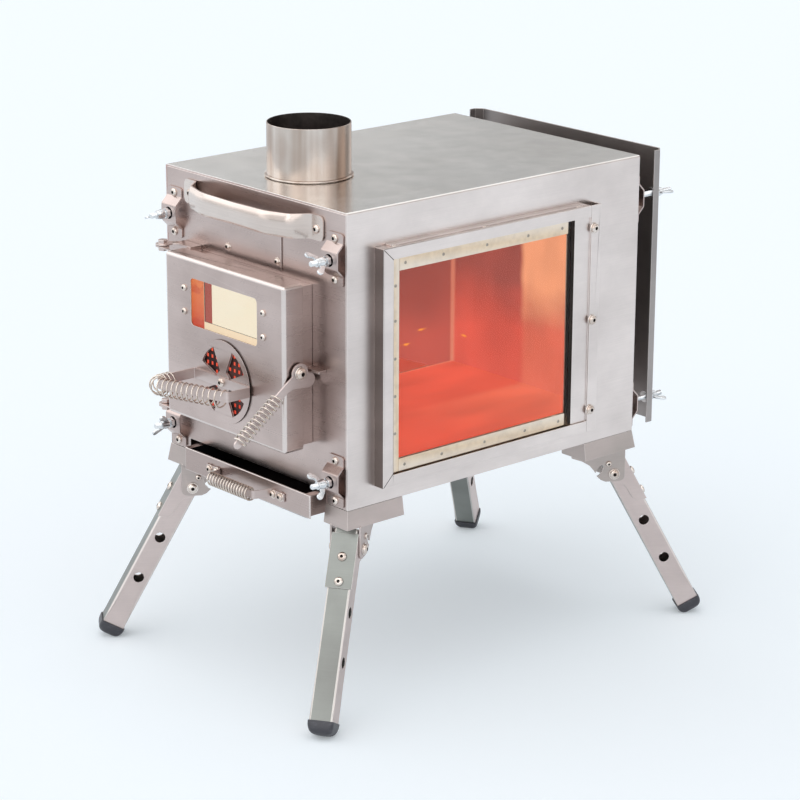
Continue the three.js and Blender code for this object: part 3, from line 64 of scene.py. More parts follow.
MM = 0.001
BODY_ORIGIN = Vector((0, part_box("front_panel")[0].y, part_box("front_panel")[0].z))
TO_METRES = Matrix.Translation(BODY_ORIGIN) @ Matrix.Diagonal((MM, MM, MM, 1))
TO_BODY = TO_METRES.inverted()

# The photograph's view.
CAMERA_PLACE = (2229.31, -1764.01, 972.30)
CAMERA_AZIMUTH = 48.571
CAMERA_ELEVATION = 17.357
CAMERA_ROLL = 0.266
CAMERA_LENS = 126.95


def aim_camera():
    """The camera that sees the stove as the photograph does."""
    camera = bpy.data.objects.new("camera", bpy.data.cameras.new("camera"))
    bpy.context.scene.collection.objects.link(camera)
    camera.data.lens = CAMERA_LENS
    camera.data.sensor_width = 36
    turned = Matrix.Rotation(math.radians(CAMERA_AZIMUTH), 4, "Z")
    tilted = Matrix.Rotation(math.radians(90 - CAMERA_ELEVATION), 4, "X")
    rolled = Matrix.Rotation(math.radians(CAMERA_ROLL), 4, "Z")
    camera.matrix_world = Matrix.Translation(TO_METRES @ Vector(CAMERA_PLACE)) @ turned @ tilted @ rolled
    camera.data.clip_end = 50
    bpy.context.scene.camera = camera


aim_camera()

# ---------------------------------------------------------------- shapes


def span(node):
    """A CAD node's lowest and highest corners in the body's millimetres."""
    low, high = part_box(node)
    return TO_BODY @ low, TO_BODY @ high


def middle(node):
    low, high = span(node)
    return (low + high) / 2


def clamped(point, low, high):
    """A point moved into a box."""
    return Vector([min(max(v, a), b) for v, a, b in zip(point, low, high)])


def loft(rings, closed=False):
    """A skin from ring to ring, with a face over each end unless the rings close on themselves."""
    count = len(rings[0])
    corners = [corner for ring in rings for corner in ring]
    faces = []
    for k in range(len(rings) if closed else len(rings) - 1):
        a = k * count
        b = (k + 1) % len(rings) * count
        for i in range(count):
            j = (i + 1) % count
            faces.append([a + i, a + j, b + j, b + i])
    if not closed:
        faces.append(list(range(count)))
        faces.append([len(corners) - count + i for i in range(count)])
    return corners, faces


def ring(radius, z, sides=32, reach=None):
    """Corners round the z axis. A reach function gives another radius at each angle."""
    corners = []
    for i in range(sides):
        angle = math.tau * i / sides
        r = min(radius, reach(angle)) if reach else radius
        corners.append(Vector((r * math.cos(angle), r * math.sin(angle), z)))
    return corners


def hexagon(corner_radius):
    """The distance from a hexagon's middle to its side at an angle."""
    flat = corner_radius * math.cos(math.pi / 6)
    return lambda angle: flat / math.cos((angle + math.pi / 6) % (math.pi / 3) - math.pi / 6)


def lathe(profile, sides=32, closed=False):
    """A turned form about z through (radius, z) steps."""
    return loft([ring(radius, z, sides) for radius, z in profile], closed)


DOME_ANGLES = (12, 24, 36, 48, 60)  # degrees up a screw head's dome
DOME_REACH = 0.87  # about the sine of the last one
HEAD_RIM = 0.25  # share of a head's height below its dome
SOCKET_FLOOR = 0.45  # share of a head's height below its socket


def button_head(radius, height, socket=0.45):
    """A domed screw head on z = 0 with a hexagon socket, whose faces are marked as the recess."""
    sides = 24
    rim = height * HEAD_RIM
    rings = [ring(radius * 0.96, 0, sides), ring(radius, rim * 0.4, sides)]
    for degrees in DOME_ANGLES:
        angle = math.radians(degrees)
        z = rim + (height - rim) * math.sin(angle) / DOME_REACH
        rings.append(ring(radius * math.cos(angle), z, sides))
    key = hexagon(radius * socket)
    rings.append(ring(radius, height, sides, key))
    rings.append(ring(radius, height * SOCKET_FLOOR, sides, lambda angle: key(angle) * 0.96))
    corners, faces = loft(rings)
    marks = [False] * len(faces)
    for i in range(sides):
        marks[(len(rings) - 2) * sides + i] = True
    marks[-1] = True
    return corners, faces, marks


def hex_nut(corner_radius, height):
    """A hexagon nut or bolt head on z = 0 with turned corners."""
    key = hexagon(corner_radius)
    turned = corner_radius * 0.9
    bevel = height * 0.12
    rings = [ring(turned, 0, 24, key), ring(corner_radius, bevel, 24, key)]
    rings += [ring(corner_radius, height - bevel, 24, key), ring(turned, height, 24, key)]
    return loft(rings)


def thread(radius, length, pitch=1.1):
    """A threaded rod from z = 0 with turned ridges and a pointed end."""
    rings = []
    ridges = int(length / pitch)
    for i in range(ridges):
        rings.append(ring(radius * 0.84, i * pitch, 16))
        rings.append(ring(radius, (i + 0.5) * pitch, 16))
    rings.append(ring(radius * 0.7, length, 16))
    return loft(rings)


def plate(outline, thickness, holes=()):
    """An outline of (x, y) corners with holes, from z = 0 up to the thickness."""
    lines = [[Vector((x, y, 0)) for x, y in line] for line in (outline, *holes)]
    flat = [corner for line in lines for corner in line]
    count = len(flat)
    triangles = [list(triangle) for triangle in tessellate_polygon(lines)]
    corners = flat + [corner + Vector((0, 0, thickness)) for corner in flat]
    faces = triangles + [[i + count for i in triangle] for triangle in triangles]
    first = 0
    for line in lines:
        for i in range(len(line)):
            a = first + i
            b = first + (i + 1) % len(line)
            faces.append([a, b, b + count, a + count])
        first += len(line)
    return corners, faces


def arc(centre, radius, start, end, steps=8):
    """(x, y) corners along an arc between two angles in degrees."""
    corners = []
    for i in range(steps + 1):
        angle = math.radians(start + (end - start) * i / steps)
        corners.append((centre[0] + radius * math.cos(angle), centre[1] + radius * math.sin(angle)))
    return corners


def rounded_box(x_low, y_low, x_high, y_high, radius, steps=5):
    """The outline of a rectangle with round corners."""
    inner = [(x_high - radius, y_high - radius, 0), (x_low + radius, y_high - radius, 90)]
    inner += [(x_low + radius, y_low + radius, 180), (x_high - radius, y_low + radius, 270)]
    return [corner for x, y, start in inner for corner in arc((x, y), radius, start, start + 90, steps)]


def bent(points, steps=7):
    """A line through (x, y) or (x, y, bend radius) points, with its bends rounded."""
    line = []
    for i, point in enumerate(points):
        here = Vector(point[:2])
        radius = point[2] if len(point) > 2 else 0
        if not radius or i in (0, len(points) - 1):
            line.append(here)
            continue
        before = (Vector(points[i - 1][:2]) - here).normalized()
        after = (Vector(points[i + 1][:2]) - here).normalized()
        half = before.angle(after) / 2
        centre = here + (before + after).normalized() * radius / math.sin(half)
        first = here + before * radius / math.tan(half) - centre
        last = here + after * radius / math.tan(half) - centre
        turn = first.angle_signed(last)
        for step in range(steps + 1):
            line.append(centre + Matrix.Rotation(-turn * step / steps, 2) @ first)
    return line


def ribbon(points, thickness, width):
    """A strip bent along a line in x and y, centred on it, from z = 0 up to its width."""
    line = bent(points)
    sides = ([], [])
    for i, here in enumerate(line):
        before = (here - line[i - 1]).normalized() if i else None
        after = (line[i + 1] - here).normalized() if i < len(line) - 1 else before
        along = ((before or after) + after).normalized()
        across = Vector((-along.y, along.x)) * thickness / 2 / max(along.dot(after), 0.5)
        sides[0].append(tuple(here + across))
        sides[1].append(tuple(here - across))
    return plate(sides[0] + sides[1][::-1], width)


def evenly(line, steps):
    """Points at even distances along a line, and the line's length."""
    reach = [0]
    for a, b in zip(line, line[1:]):
        reach.append(reach[-1] + (b - a).length)
    points = []
    k = 0
    for step in range(steps + 1):
        wanted = reach[-1] * step / steps
        while k < len(line) - 2 and reach[k + 1] < wanted:
            k += 1
        share = (wanted - reach[k]) / (reach[k + 1] - reach[k])
        points.append(line[k].lerp(line[k + 1], share))
    return points, reach[-1]


def walk(line, steps):
    """Even steps along a line in x and y: each point, the way to its left, its share of the line
    and its distance from the nearer end."""
    path, length = evenly(line, steps)
    for i, here in enumerate(path):
        along = (path[min(i + 1, steps)] - path[max(i - 1, 0)]).normalized()
        yield here, Vector((-along.y, along.x)), i / steps, min(i, steps - i) / steps * length


def rounded_off(end, radius):
    """How much a strip narrows at a distance from its end, where its corners are round."""
    return radius - math.sqrt(radius**2 - (radius - end) ** 2) if end < radius else 0


def mirrored(points):
    """The left half of a line, and after it the right one."""
    return points + [(-x, y, *more) for x, y, *more in points[::-1]]


def wire(points, radius, sides=8):
    """A round wire along points."""
    rings = []
    side = None
    for i, here in enumerate(points):
        along = (points[min(i + 1, len(points) - 1)] - points[max(i - 1, 0)]).normalized()
        if side is None:
            side = along.orthogonal()
        side = (side - along * side.dot(along)).normalized()
        up = along.cross(side)
        loop = []
        for k in range(sides):
            angle = math.tau * k / sides
            loop.append(here + radius * (math.cos(angle) * side + math.sin(angle) * up))
        rings.append(loop)
    return loft(rings)


def coil(line, radius, turns, wire_radius, start=0.0, crowd=0.0):
    """A spring round a flat line in x and y. Crowd draws its turns towards the line's end."""
    points = []
    for here, across, share, _ in walk(line, int(turns * 20)):
        share += crowd * share * (share - 1)
        angle = start + math.tau * turns * share
        flat = here + radius * across * math.cos(angle)
        points.append(Vector((*flat, radius * math.sin(angle))))
    return wire(points, wire_radius)


WELD = 0.002  # corners nearer than this are one
TURNED = "turned"  # marks the faces of a rounded edge
BEND_START = math.radians(1)


def softened(shape, radius, segments=2, test=None, sharp=30):
    """A shape with its sharp edges rounded; the test can pick edges."""
    bm = bmesh.new()
    corners = [bm.verts.new(corner) for corner in shape[0]]
    for face in shape[1]:
        bm.faces.new([corners[i] for i in face])
    soften(bm, radius, segments, test, sharp)
    bm.verts.index_update()
    made = [vertex.co.copy() for vertex in bm.verts], [[v.index for v in face.verts] for face in bm.faces]
    bm.free()
    return made


def soften(bm, radius, segments=2, test=None, sharp=30):
    bmesh.ops.remove_doubles(bm, verts=bm.verts, dist=WELD)
    bmesh.ops.recalc_face_normals(bm, faces=bm.faces)
    limit = math.radians(sharp)
    edges = [e for e in bm.edges if len(e.link_faces) == 2 and e.calc_face_angle(0) > limit]
    if test:
        edges = [e for e in edges if test(e.verts[0].co, e.verts[1].co)]
    if radius and edges:
        made = bmesh.ops.bevel(
            bm, geom=edges, offset=radius, offset_type="OFFSET", segments=segments,
            profile=0.5, affect="EDGES", clamp_overlap=False,
        )
        turned = bm.faces.layers.int.get(TURNED)
        for face in made["faces"] if turned else ():
            face[turned] = 1


def flat_faces(bm, sharp):
    """The faces that neither a rounding nor a bend of the sheet made."""
    turned = bm.faces.layers.int.get(TURNED)
    limit = math.radians(sharp)
    flats = []
    for face in bm.faces:
        bends = False
        for edge in face.edges:
            for other in edge.link_faces:
                angle = face.normal.angle(other.normal, 0)
                bends = bends or other is not face and not other[turned] and BEND_START < angle < limit
        if not face[turned] and not bends:
            flats.append(face)
    return flats


def settle(mesh, name, body, nodes, sharp=50):
    """The mesh as a piece that rides on its body in place of its CAD nodes."""
    for vertex in mesh.vertices:
        vertex.co = clamped(vertex.co, cad_low, cad_high)
    mesh.set_sharp_from_angle(angle=math.radians(sharp))
    piece = bpy.data.objects.new(name, mesh)
    piece.modifiers.new("flats", "WEIGHTED_NORMAL").keep_sharp = True
    bpy.context.scene.collection.objects.link(piece)
    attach(piece, body)
    if nodes:
        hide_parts(*nodes)
    return piece


class Form:
    """Corners, faces and the number of each face's material, gathered before a mesh is made."""

    def __init__(self):
        self.corners = []
        self.faces = []
        self.finishes = []

    def add(self, shape, matrix=None, finish=0, recess=1):
        first = len(self.corners)
        marks = shape[2] if len(shape) > 2 else [False] * len(shape[1])
        self.corners += [matrix @ Vector(c) if matrix else Vector(c) for c in shape[0]]
        self.faces += [[first + i for i in face] for face in shape[1]]
        self.finishes += [recess if mark else finish for mark in marks]
        return self

    def piece(self, name, body, slot, materials, nodes=(), sharp=50):
        mesh = bpy.data.meshes.new(name)
        mesh.from_pydata([TO_METRES @ corner for corner in self.corners], [], self.faces)
        for material in materials:
            mesh.materials.append(material)
        mesh.polygons.foreach_set("material_index", self.finishes)
        mesh.shade_smooth()
        bm = bmesh.new()
        bm.from_mesh(mesh)
        bmesh.ops.recalc_face_normals(bm, faces=bm.faces)
        bm.to_mesh(mesh)
        bm.free()
        return settle(mesh, name, body, nodes, sharp)


def dressed(node, body, materials, edge=0.3, rounds=(), shave=None, choose=None, sharp=50):
    """A copy of a CAD piece with its edges broken. Rounds are (test, radius) for larger edges,
    shave moves each corner before that, and choose picks a face's material."""
    bm = bmesh.new()
    bm.from_mesh(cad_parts[node].data)
    bm.transform(TO_BODY)
    bm.faces.layers.int.new(TURNED)
    if shave:
        for vertex in bm.verts:
            vertex.co = shave(vertex.co)
    soften(bm, 0)
    for test, radius in rounds:
        soften(bm, radius, 5, test)
    if edge:
        soften(bm, edge, 2, None, 40)
    low, high = span(node)
    for vertex in bm.verts:
        vertex.co = clamped(vertex.co, low, high)
    bmesh.ops.recalc_face_normals(bm, faces=bm.faces)
    for face in bm.faces:
        face.material_index = choose(face.calc_center_median(), face.normal) if choose else 0
        face.smooth = True
    for face in flat_faces(bm, sharp):
        face.smooth = False
    bm.transform(TO_METRES)
    mesh = bpy.data.meshes.new(node)
    bm.to_mesh(mesh)
    bm.free()
    for material in materials:
        mesh.materials.append(material)
    return settle(mesh, node + ".finish", body, [node], sharp)


def facing(direction, place=(0, 0, 0), turn=0):
    """A matrix that sends a form's +z to a direction, after a turn about it, and puts it in place."""
    aimed = Vector(direction).to_track_quat("Z", "Y").to_matrix().to_4x4()
    return Matrix.Translation(Vector(place)) @ aimed @ Matrix.Rotation(math.radians(turn), 4, "Z")


def basis(x_axis, y_axis, z_axis, place):
    """A matrix that sends a form's axes to three directions and its origin to a place."""
    matrix = Matrix((Vector(x_axis), Vector(y_axis), Vector(z_axis))).transposed().to_4x4()
    return Matrix.Translation(Vector(place)) @ matrix


FRONT = Vector((0, -1, 0))
BACK = Vector((0, 1, 0))
UP = Vector((0, 0, 1))
RIGHT = Vector((1, 0, 0))


def sideways(place):
    """A matrix that lays a flat form against a side: its x to the back, its y up."""
    return basis(BACK, UP, RIGHT, place)


def set_back_to(face):
    """A shave that brings every corner in front of a face back to it."""
    return lambda corner: Vector((corner.x, max(corner.y, face), corner.z))


def add_flanged_screw(form, outward, place, flange, head, turn=0, finish=0, recess=1):
    """A button head on a thin turned flange, which is given by its radius, height and sides."""
    radius, height, sides = flange
    profile = [(radius - 0.2, 0), (radius, 0.3), (radius - 0.3, height)]
    form.add(lathe(profile, sides), facing(outward, place), finish)
    seat = Vector(place) + outward * (height - 0.1)
    form.add(button_head(*head), facing(outward, seat, turn), finish, recess)


# ---------------------------------------------------------------- materials


def shade(red, green, blue):
    """A colour from screen values of 0 to 255, as linear light."""
    linear = []
    for value in (red, green, blue):
        part = value / 255
        linear.append(part / 12.92 if part <= 0.04045 else ((part + 0.055) / 1.055) ** 2.4)
    return (*linear, 1)


class Nodes:
    """A node tree. Inputs are plain values or the outputs of other nodes. Places and scales in it
    are the shared frame's metres."""

    def __init__(self, tree):
        self.tree = tree

    def node(self, kind, inputs, **settings):
        made = self.tree.nodes.new("ShaderNode" + kind)
        for key, value in settings.items():
            setattr(made, key, value)
        for key, value in inputs.items():
            self.set(made.inputs[key], value)
        return made

    def set(self, socket, value):
        if isinstance(value, bpy.types.NodeSocket):
            self.tree.links.new(value, socket)
        else:
            socket.default_value = value

    def place(self, output):
        return self.node("TexCoord", {}).outputs[output]

    def axes(self, output):
        return self.node("SeparateXYZ", {"Vector": self.place(output)}).outputs

    def noise(self, scale, detail=3.0, rough=0.5):
        mapped = self.node("Mapping", {"Vector": self.place("Object"), "Scale": scale}).outputs["Vector"]
        inputs = {"Vector": mapped, "Scale": 1.0, "Detail": detail, "Roughness": rough}
        return self.node("TexNoise", inputs).outputs["Fac"]

    def ramp(self, value, start, end, low=0.0, high=1.0):
        inputs = {"Value": value, "From Min": start, "From Max": end, "To Min": low, "To Max": high}
        return self.node("MapRange", inputs).outputs["Result"]

    def math(self, operation, a, b, c=0.0):
        return self.node("Math", {0: a, 1: b, 2: c}, operation=operation).outputs["Value"]

    def times(self, value, factor, plus=0.0):
        return self.math("MULTIPLY_ADD", value, factor, plus)

    def vector(self, operation, a, b):
        return self.node("VectorMath", {0: a, 1: b}, operation=operation).outputs[0]

    def blend(self, factor, a, b, kind="MIX"):
        mix = self.node("Mix", {0: factor, 6: a, 7: b}, data_type="RGBA", blend_type=kind)
        return mix.outputs[2]

    def toned(self, colour, tone):
        grey = self.node("CombineColor", {0: tone, 1: tone, 2: tone}).outputs[0]
        return self.blend(1.0, colour, grey, "MULTIPLY")

    def bump(self, height, strength, distance):
        inputs = {"Height": height, "Strength": strength, "Distance": distance}
        return self.node("Bump", inputs).outputs["Normal"]


class Paint(Nodes):
    """A material's nodes round its Principled shader."""

    def __init__(self, name):
        self.material = bpy.data.materials.new(name)
        self.material.use_nodes = True
        super().__init__(self.material.node_tree)
        self.shader = self.tree.nodes["Principled BSDF"]

    def surface(self, **inputs):
        for key, value in inputs.items():
            self.set(self.shader.inputs[key.replace("_", " ")], value)
        return self.material


FINE = 2600  # brushed lines across a metre
LONG = 7  # breaks in the brushed lines along a metre
FACING = 0.7  # how much of a normal lies along the axis that its face looks along


def brushed(name, clean, worn, roughness, streaks=0.035, anisotropy=0.4, handled=0.08):
    """Brushed steel: lines run level on upright faces and to the back on level ones, with soft
    clouds of a second tone, smears that change the gloss, and a painted highlight on rounded edges."""
    paint = Paint(name)
    upright = paint.noise((LONG, LONG, FINE), 4)
    level = paint.noise((FINE, LONG, LONG), 4)
    lying = paint.math("GREATER_THAN", paint.math("ABSOLUTE", paint.axes("Normal")[2], 0.0), FACING)
    lines = paint.blend(lying, upright, level)
    clouds = paint.ramp(paint.noise((6, 6, 9), 3, 0.55), 0.35, 0.65)
    smears = paint.noise((30, 30, 55), 5, 0.65)
    colour = paint.blend(clouds, clean, worn)
    streak = paint.ramp(lines, 0.3, 0.7, 1 - streaks, 1 + streaks)
    smear = paint.ramp(smears, 0.3, 0.7, 1 - handled * 0.5, 1 + handled * 0.5)
    colour = paint.toned(colour, paint.times(streak, smear))
    # painted highlight: the faces of rounded edges are mixed halfway to a pale colour
    rounded = paint.node("Attribute", {}, attribute_name=TURNED).outputs["Fac"]
    colour = paint.blend(paint.times(rounded, 0.5), colour, shade(240, 234, 230))
    gloss = paint.times(lines, 0.1, roughness - 0.05)
    gloss = paint.times(smears, handled, gloss)
    tangent = paint.node("Tangent", {}, direction_type="RADIAL", axis="Z").outputs["Tangent"]
    paint.surface(Anisotropic=anisotropy, Tangent=tangent, Normal=paint.bump(lines, 0.1, 0.0002))
    return paint.surface(Base_Color=colour, Metallic=1.0, Roughness=gloss)


def polished(name, clean, worn, roughness):
    """Drawn wire, turned heads and plated nuts: fine pits, faint tarnish and a painted highlight on sharp
    edges.
    """
    paint = Paint(name)
    tarnish = paint.ramp(paint.noise((90, 90, 90), 4, 0.6), 0.4, 0.65)
    pits = paint.noise((1400, 1400, 1400), 2)
    colour = paint.blend(tarnish, clean, worn)
    # painted highlight: corners with high pointiness are mixed towards a pale colour
    edge = paint.ramp(paint.node("NewGeometry", {}).outputs["Pointiness"], 0.53, 0.62, 0.0, 0.5)
    colour = paint.blend(edge, colour, shade(244, 242, 240))
    gloss = paint.times(pits, 0.2, roughness - 0.1)
    bump = paint.bump(pits, 0.12, 0.0001)
    return paint.surface(Base_Color=colour, Metallic=1.0, Roughness=gloss, Normal=bump)


def rolled_pipe(name):
    """The flue: upright bands of rolled steel with a bronze heat tint between bright ones."""
    paint = Paint(name)
    bands = paint.ramp(paint.noise((34, 34, 1.2), 3, 0.5), 0.38, 0.6)
    tint = paint.ramp(paint.noise((14, 14, 10), 3, 0.5), 0.42, 0.62)
    colour = paint.blend(bands, shade(228, 222, 216), shade(158, 138, 124))
    colour = paint.blend(paint.times(tint, 0.55), colour, shade(156, 128, 112))
    lines = paint.noise((LONG, LONG, FINE), 3)
    gloss = paint.times(lines, 0.16, 0.16)
    bump = paint.bump(lines, 0.1, 0.0002)
    return paint.surface(Base_Color=colour, Metallic=1.0, Roughness=gloss, Normal=bump)


def level_of(height):
    """A height over the body's lower edge in the shared frame's metres."""
    return (TO_METRES @ Vector((0, 0, height))).z


FIRE_LOW = level_of(60)
FIRE_HIGH = level_of(140)
LINER_LOW = level_of(148)  # the lowest part of the liner that the door's window shows
FIRE_FLOOR_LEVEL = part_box("firebox_floor")[1].z - 0.0005
WALL_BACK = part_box("back_panel")[0].y
WALL_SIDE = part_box("body_wrap")[1].x - 0.0015
PALE_FROM = -0.034  # x where the pale block of firelight begins
PALE_FULL = -0.026
NOWHERE = (1, 2)  # depths that no face of the stove reaches
LINER_LIGHT = (-0.0562, -0.0556)  # x over which the liner turns from red to light
SPARKS = [(-148.5, 342, 48), (-148.5, 318, 44), (-128, 415.5, 50), (-148.5, 366, 62)]
SPARK_SHAPE = (90, 90, 330)  # one over a spark's half sizes in metres


def with_spark(paint, colour, place):
    offset = paint.vector("SUBTRACT", paint.place("Object"), TO_METRES @ Vector(place))
    flat = paint.vector("MULTIPLY", offset, SPARK_SHAPE)
    reach = paint.node("VectorMath", {0: flat}, operation="LENGTH").outputs["Value"]
    reach = paint.times(paint.noise((120, 120, 300), 2), 1.4, reach)
    return paint.blend(paint.ramp(reach, 0.8, 1.3, 1.0, 0.0), colour, shade(255, 156, 60))


def fire_lit(name, base, high, pale_share=0.0, pale_depths=NOWHERE):
    """The firebox's skins, which glow with painted firelight: bright orange-red below, dull red above,
    a paler orange pool of painted light from one depth to another, a painted shade on the left
    side with a painted light line at its corner, and sparks."""
    paint = Paint(name)
    x, y, z = paint.axes("Object")
    drift = paint.math("SUBTRACT", paint.noise((11, 11, 16), 3, 0.5), 0.5)
    height = paint.times(drift, 0.1, z)
    colour = paint.blend(paint.ramp(height, FIRE_LOW, FIRE_HIGH), base, high)
    across = paint.times(drift, 0.012, x)
    at_back = paint.ramp(y, *pale_depths)
    # painted light: a paler pool of firelight across x and from one depth to another
    pale = paint.times(paint.ramp(across, PALE_FROM, PALE_FULL), at_back)
    pale = paint.times(pale, paint.ramp(height, FIRE_LOW + 0.015, FIRE_HIGH, 0.2, 1.0))
    colour = paint.blend(paint.times(pale, pale_share), colour, shade(246, 164, 128))
    # painted shade: the left wall is duller than the back
    left_wall_shade = paint.ramp(x, -WALL_SIDE, -WALL_SIDE + 0.001, 1.0, 0.0)
    colour = paint.blend(paint.times(left_wall_shade, 0.6), colour, shade(166, 80, 74))
    # painted light: a lighter line where the back wall meets the left one
    corner = paint.ramp(x, -WALL_SIDE + 0.002, -WALL_SIDE + 0.006, 0.7, 0.0)
    colour = paint.blend(paint.times(corner, at_back), colour, shade(228, 140, 118))
    veil = paint.ramp(paint.noise((22, 9, 12), 2, 0.4), 0.3, 0.7, 0.84, 1.1)
    colour = paint.toned(colour, veil)
    for place in SPARKS:
        colour = with_spark(paint, colour, place)
    # the colour is painted light: the skins give it off by emission above the floor's level
    power = paint.ramp(z, FIRE_FLOOR_LEVEL - 0.001, FIRE_FLOOR_LEVEL, 0.0, 0.98)
    paint.surface(Emission_Color=colour, Emission_Strength=power, Specular_IOR_Level=0.0)
    return paint.surface(Base_Color=shade(24, 10, 8), Roughness=0.8)


def soot_patches(paint):
    return paint.ramp(paint.noise((18, 18, 18), 5, 0.65), 0.38, 0.62)


def lit_liner(name, clean, soot):
    """The door's inner sheet, with patches of soot, glowing with painted firelight on the front that the
    window shows.
    """
    paint = Paint(name)
    x, _, z = paint.axes("Object")
    drift = paint.noise((30, 30, 60), 3)
    # painted light: the glow's colour, red and orange below turning pale cream to the right
    warm = paint.ramp(z, LINER_LOW, LINER_LOW + 0.06)
    warm = paint.blend(warm, shade(214, 84, 60), shade(234, 140, 88))
    warm = paint.blend(paint.ramp(drift, 0.55, 0.62, 0.0, 0.5), warm, shade(190, 60, 48))
    colour = paint.blend(paint.ramp(x, *LINER_LIGHT), warm, shade(250, 236, 214))
    front = paint.math("LESS_THAN", paint.axes("Normal")[1], -0.5)
    power = paint.times(front, paint.ramp(z, LINER_LOW, LINER_LOW + 0.001, 0.0, 0.9))
    base = paint.blend(soot_patches(paint), clean, soot)
    paint.surface(Emission_Color=colour, Emission_Strength=power)
    return paint.surface(Base_Color=base, Metallic=0.8, Roughness=0.5)


def warm_glass(name):
    """Heat-proof glass with an uneven warm tint of smoke."""
    paint = Paint(name)
    smoke = paint.ramp(paint.noise((9, 9, 12), 4, 0.6), 0.35, 0.7)
    tint = paint.blend(smoke, (1, 0.93, 0.81, 1), (0.99, 0.9, 0.75, 1))
    return paint.surface(Base_Color=tint, Roughness=0.0, Transmission_Weight=1.0, IOR=1.25)


def soot_and_shade(name, clean, soot, roughness=0.5):
    """Dull steel under dark patches of soot. The recess and the drawer's tray use it with a dark ground
    that is painted shade.
    """
    paint = Paint(name)
    colour = paint.blend(soot_patches(paint), clean, soot)
    grain = paint.noise((700, 700, 700), 3)
    gloss = paint.times(grain, 0.3, roughness - 0.15)
    bump = paint.bump(grain, 0.15, 0.0003)
    return paint.surface(Base_Color=colour, Metallic=0.8, Roughness=gloss, Normal=bump)


def moulded(name, colour, worn):
    """Moulded black cap with a fine pebble and scuffs."""
    paint = Paint(name)
    scuffs = paint.ramp(paint.noise((60, 60, 160), 5, 0.7), 0.55, 0.75)
    bump = paint.bump(paint.noise((1800, 1800, 1800), 2), 0.25, 0.0002)
    mixed = paint.blend(scuffs, colour, worn)
    return paint.surface(Base_Color=mixed, Roughness=paint.ramp(scuffs, 0, 1, 0.42, 0.6), Normal=bump)


WRAP_STEEL = brushed("wrap_steel", shade(230, 220, 216), shade(214, 204, 200), 0.27)
# painted light: the top is a lighter, glossier copy of the wrap's steel
TOP_LIT_STEEL = brushed("top_lit_steel", shade(246, 244, 241), shade(238, 235, 231), 0.17, 0.03, 0.0)
FRONT_STEEL = brushed("front_steel", shade(204, 188, 183), shade(178, 162, 157), 0.25)
# painted shade: the darker copy of the legs' steel, for the faces that look outward
LEG_SHADED_STEEL = brushed("leg_steel", shade(140, 143, 139), shade(122, 123, 120), 0.32)
PALE_STEEL = brushed("pale_steel", shade(214, 200, 196), shade(198, 184, 180), 0.34)
# painted shade: a darker steel for the window frames' faces that look forward
FRAME_FRONT_SHADE = brushed("frame_front_shade", shade(136, 124, 120), shade(112, 102, 98), 0.36)
HANDLE_STEEL = brushed("handle_steel", shade(224, 214, 208), shade(204, 190, 182), 0.2, 0.06, 0.3)
SHIELD_STEEL = brushed("shield_steel", shade(168, 161, 159), shade(156, 150, 148), 0.36)
BRACKET_STEEL = brushed("bracket_steel", shade(196, 182, 178), shade(176, 166, 161), 0.36)
FLUE_STEEL = rolled_pipe("flue_steel")
BRIGHT_STEEL = polished("bright_steel", shade(226, 216, 208), shade(190, 172, 160), 0.2)
SPRING_STEEL = polished("spring_steel", shade(206, 192, 178), shade(168, 150, 136), 0.26)
ZINC = polished("zinc", shade(228, 230, 232), shade(190, 194, 198), 0.24)
GOLD_STRIP = polished("gold_strip", shade(224, 194, 154), shade(204, 174, 136), 0.36)
RIVET_STEEL = polished("rivet_steel", shade(150, 140, 124), shade(126, 116, 102), 0.4)
DARK_STEEL = soot_and_shade("dark_steel", shade(92, 90, 91), shade(66, 64, 66), 0.38)
FLUE_INSIDE = soot_and_shade("flue_inside", shade(98, 92, 88), shade(62, 58, 56), 0.42)
# painted shade: a dark steel for socket recesses, the gap behind the window strips, grooves and the
# disc's rim
RECESS_SHADE = soot_and_shade("recess", shade(58, 50, 46), shade(34, 30, 28), 0.6)
# painted shade: near black for the inside of the drawer's tray
TRAY_SHADE = soot_and_shade("tray_shade", shade(30, 31, 36), shade(16, 17, 22), 0.75)
PIERCED = soot_and_shade("pierced_steel", shade(96, 66, 62), shade(46, 30, 32), 0.5)
AT_WALL = (WALL_BACK - 0.004, WALL_BACK - 0.002)
# painted firelight: the firebox's skins, the door's glow plate and the liner glow by emission, though
# they are no lamps
FIRE_WALL = fire_lit("fire_wall", shade(226, 88, 74), shade(160, 74, 68), 1.0, AT_WALL)
FIRE_FLOOR = fire_lit("fire_floor", shade(232, 88, 68), shade(232, 88, 68), 1.3, (0.02, 0.26))
EMBERS = fire_lit("embers", shade(224, 74, 56), shade(240, 100, 76))
LINER = lit_liner("door_liner_steel", shade(92, 90, 91), shade(66, 64, 66))
GLASS = warm_glass("warm_glass")
CAP_BLACK = moulded("cap_black", shade(62, 62, 68), shade(92, 92, 98))
SCREW_TONES = [BRIGHT_STEEL, RECESS_SHADE]

# ---------------------------------------------------------------- body

SHEET = 1.5
GAP = 0.3  # between a plate and the sheet that it is screwed to
SCREW_HEAD = (4.5, 2.6)  # radius and height of the button heads
BODY_HIGH = span("body_wrap")[1]
FIREBOX_MIDDLE = Vector((0, 208, 160))
FIREBOX_LOW = 15  # the firebox floor's top
NEAR = 0.1  # how far from a plane a face may lie and still count as on it


def firebox_skin(centre, normal):
    """1 for a face of the body that looks into the firebox, else 0."""
    wall = SHEET - NEAR
    inside_x = abs(centre.x) < BODY_HIGH.x - wall
    inside_y = wall < centre.y < BODY_HIGH.y - wall
    inside_z = FIREBOX_LOW < centre.z < BODY_HIGH.z - wall
    towards_middle = normal.dot(FIREBOX_MIDDLE - centre) > 0
    return int(inside_x and inside_y and inside_z and towards_middle)


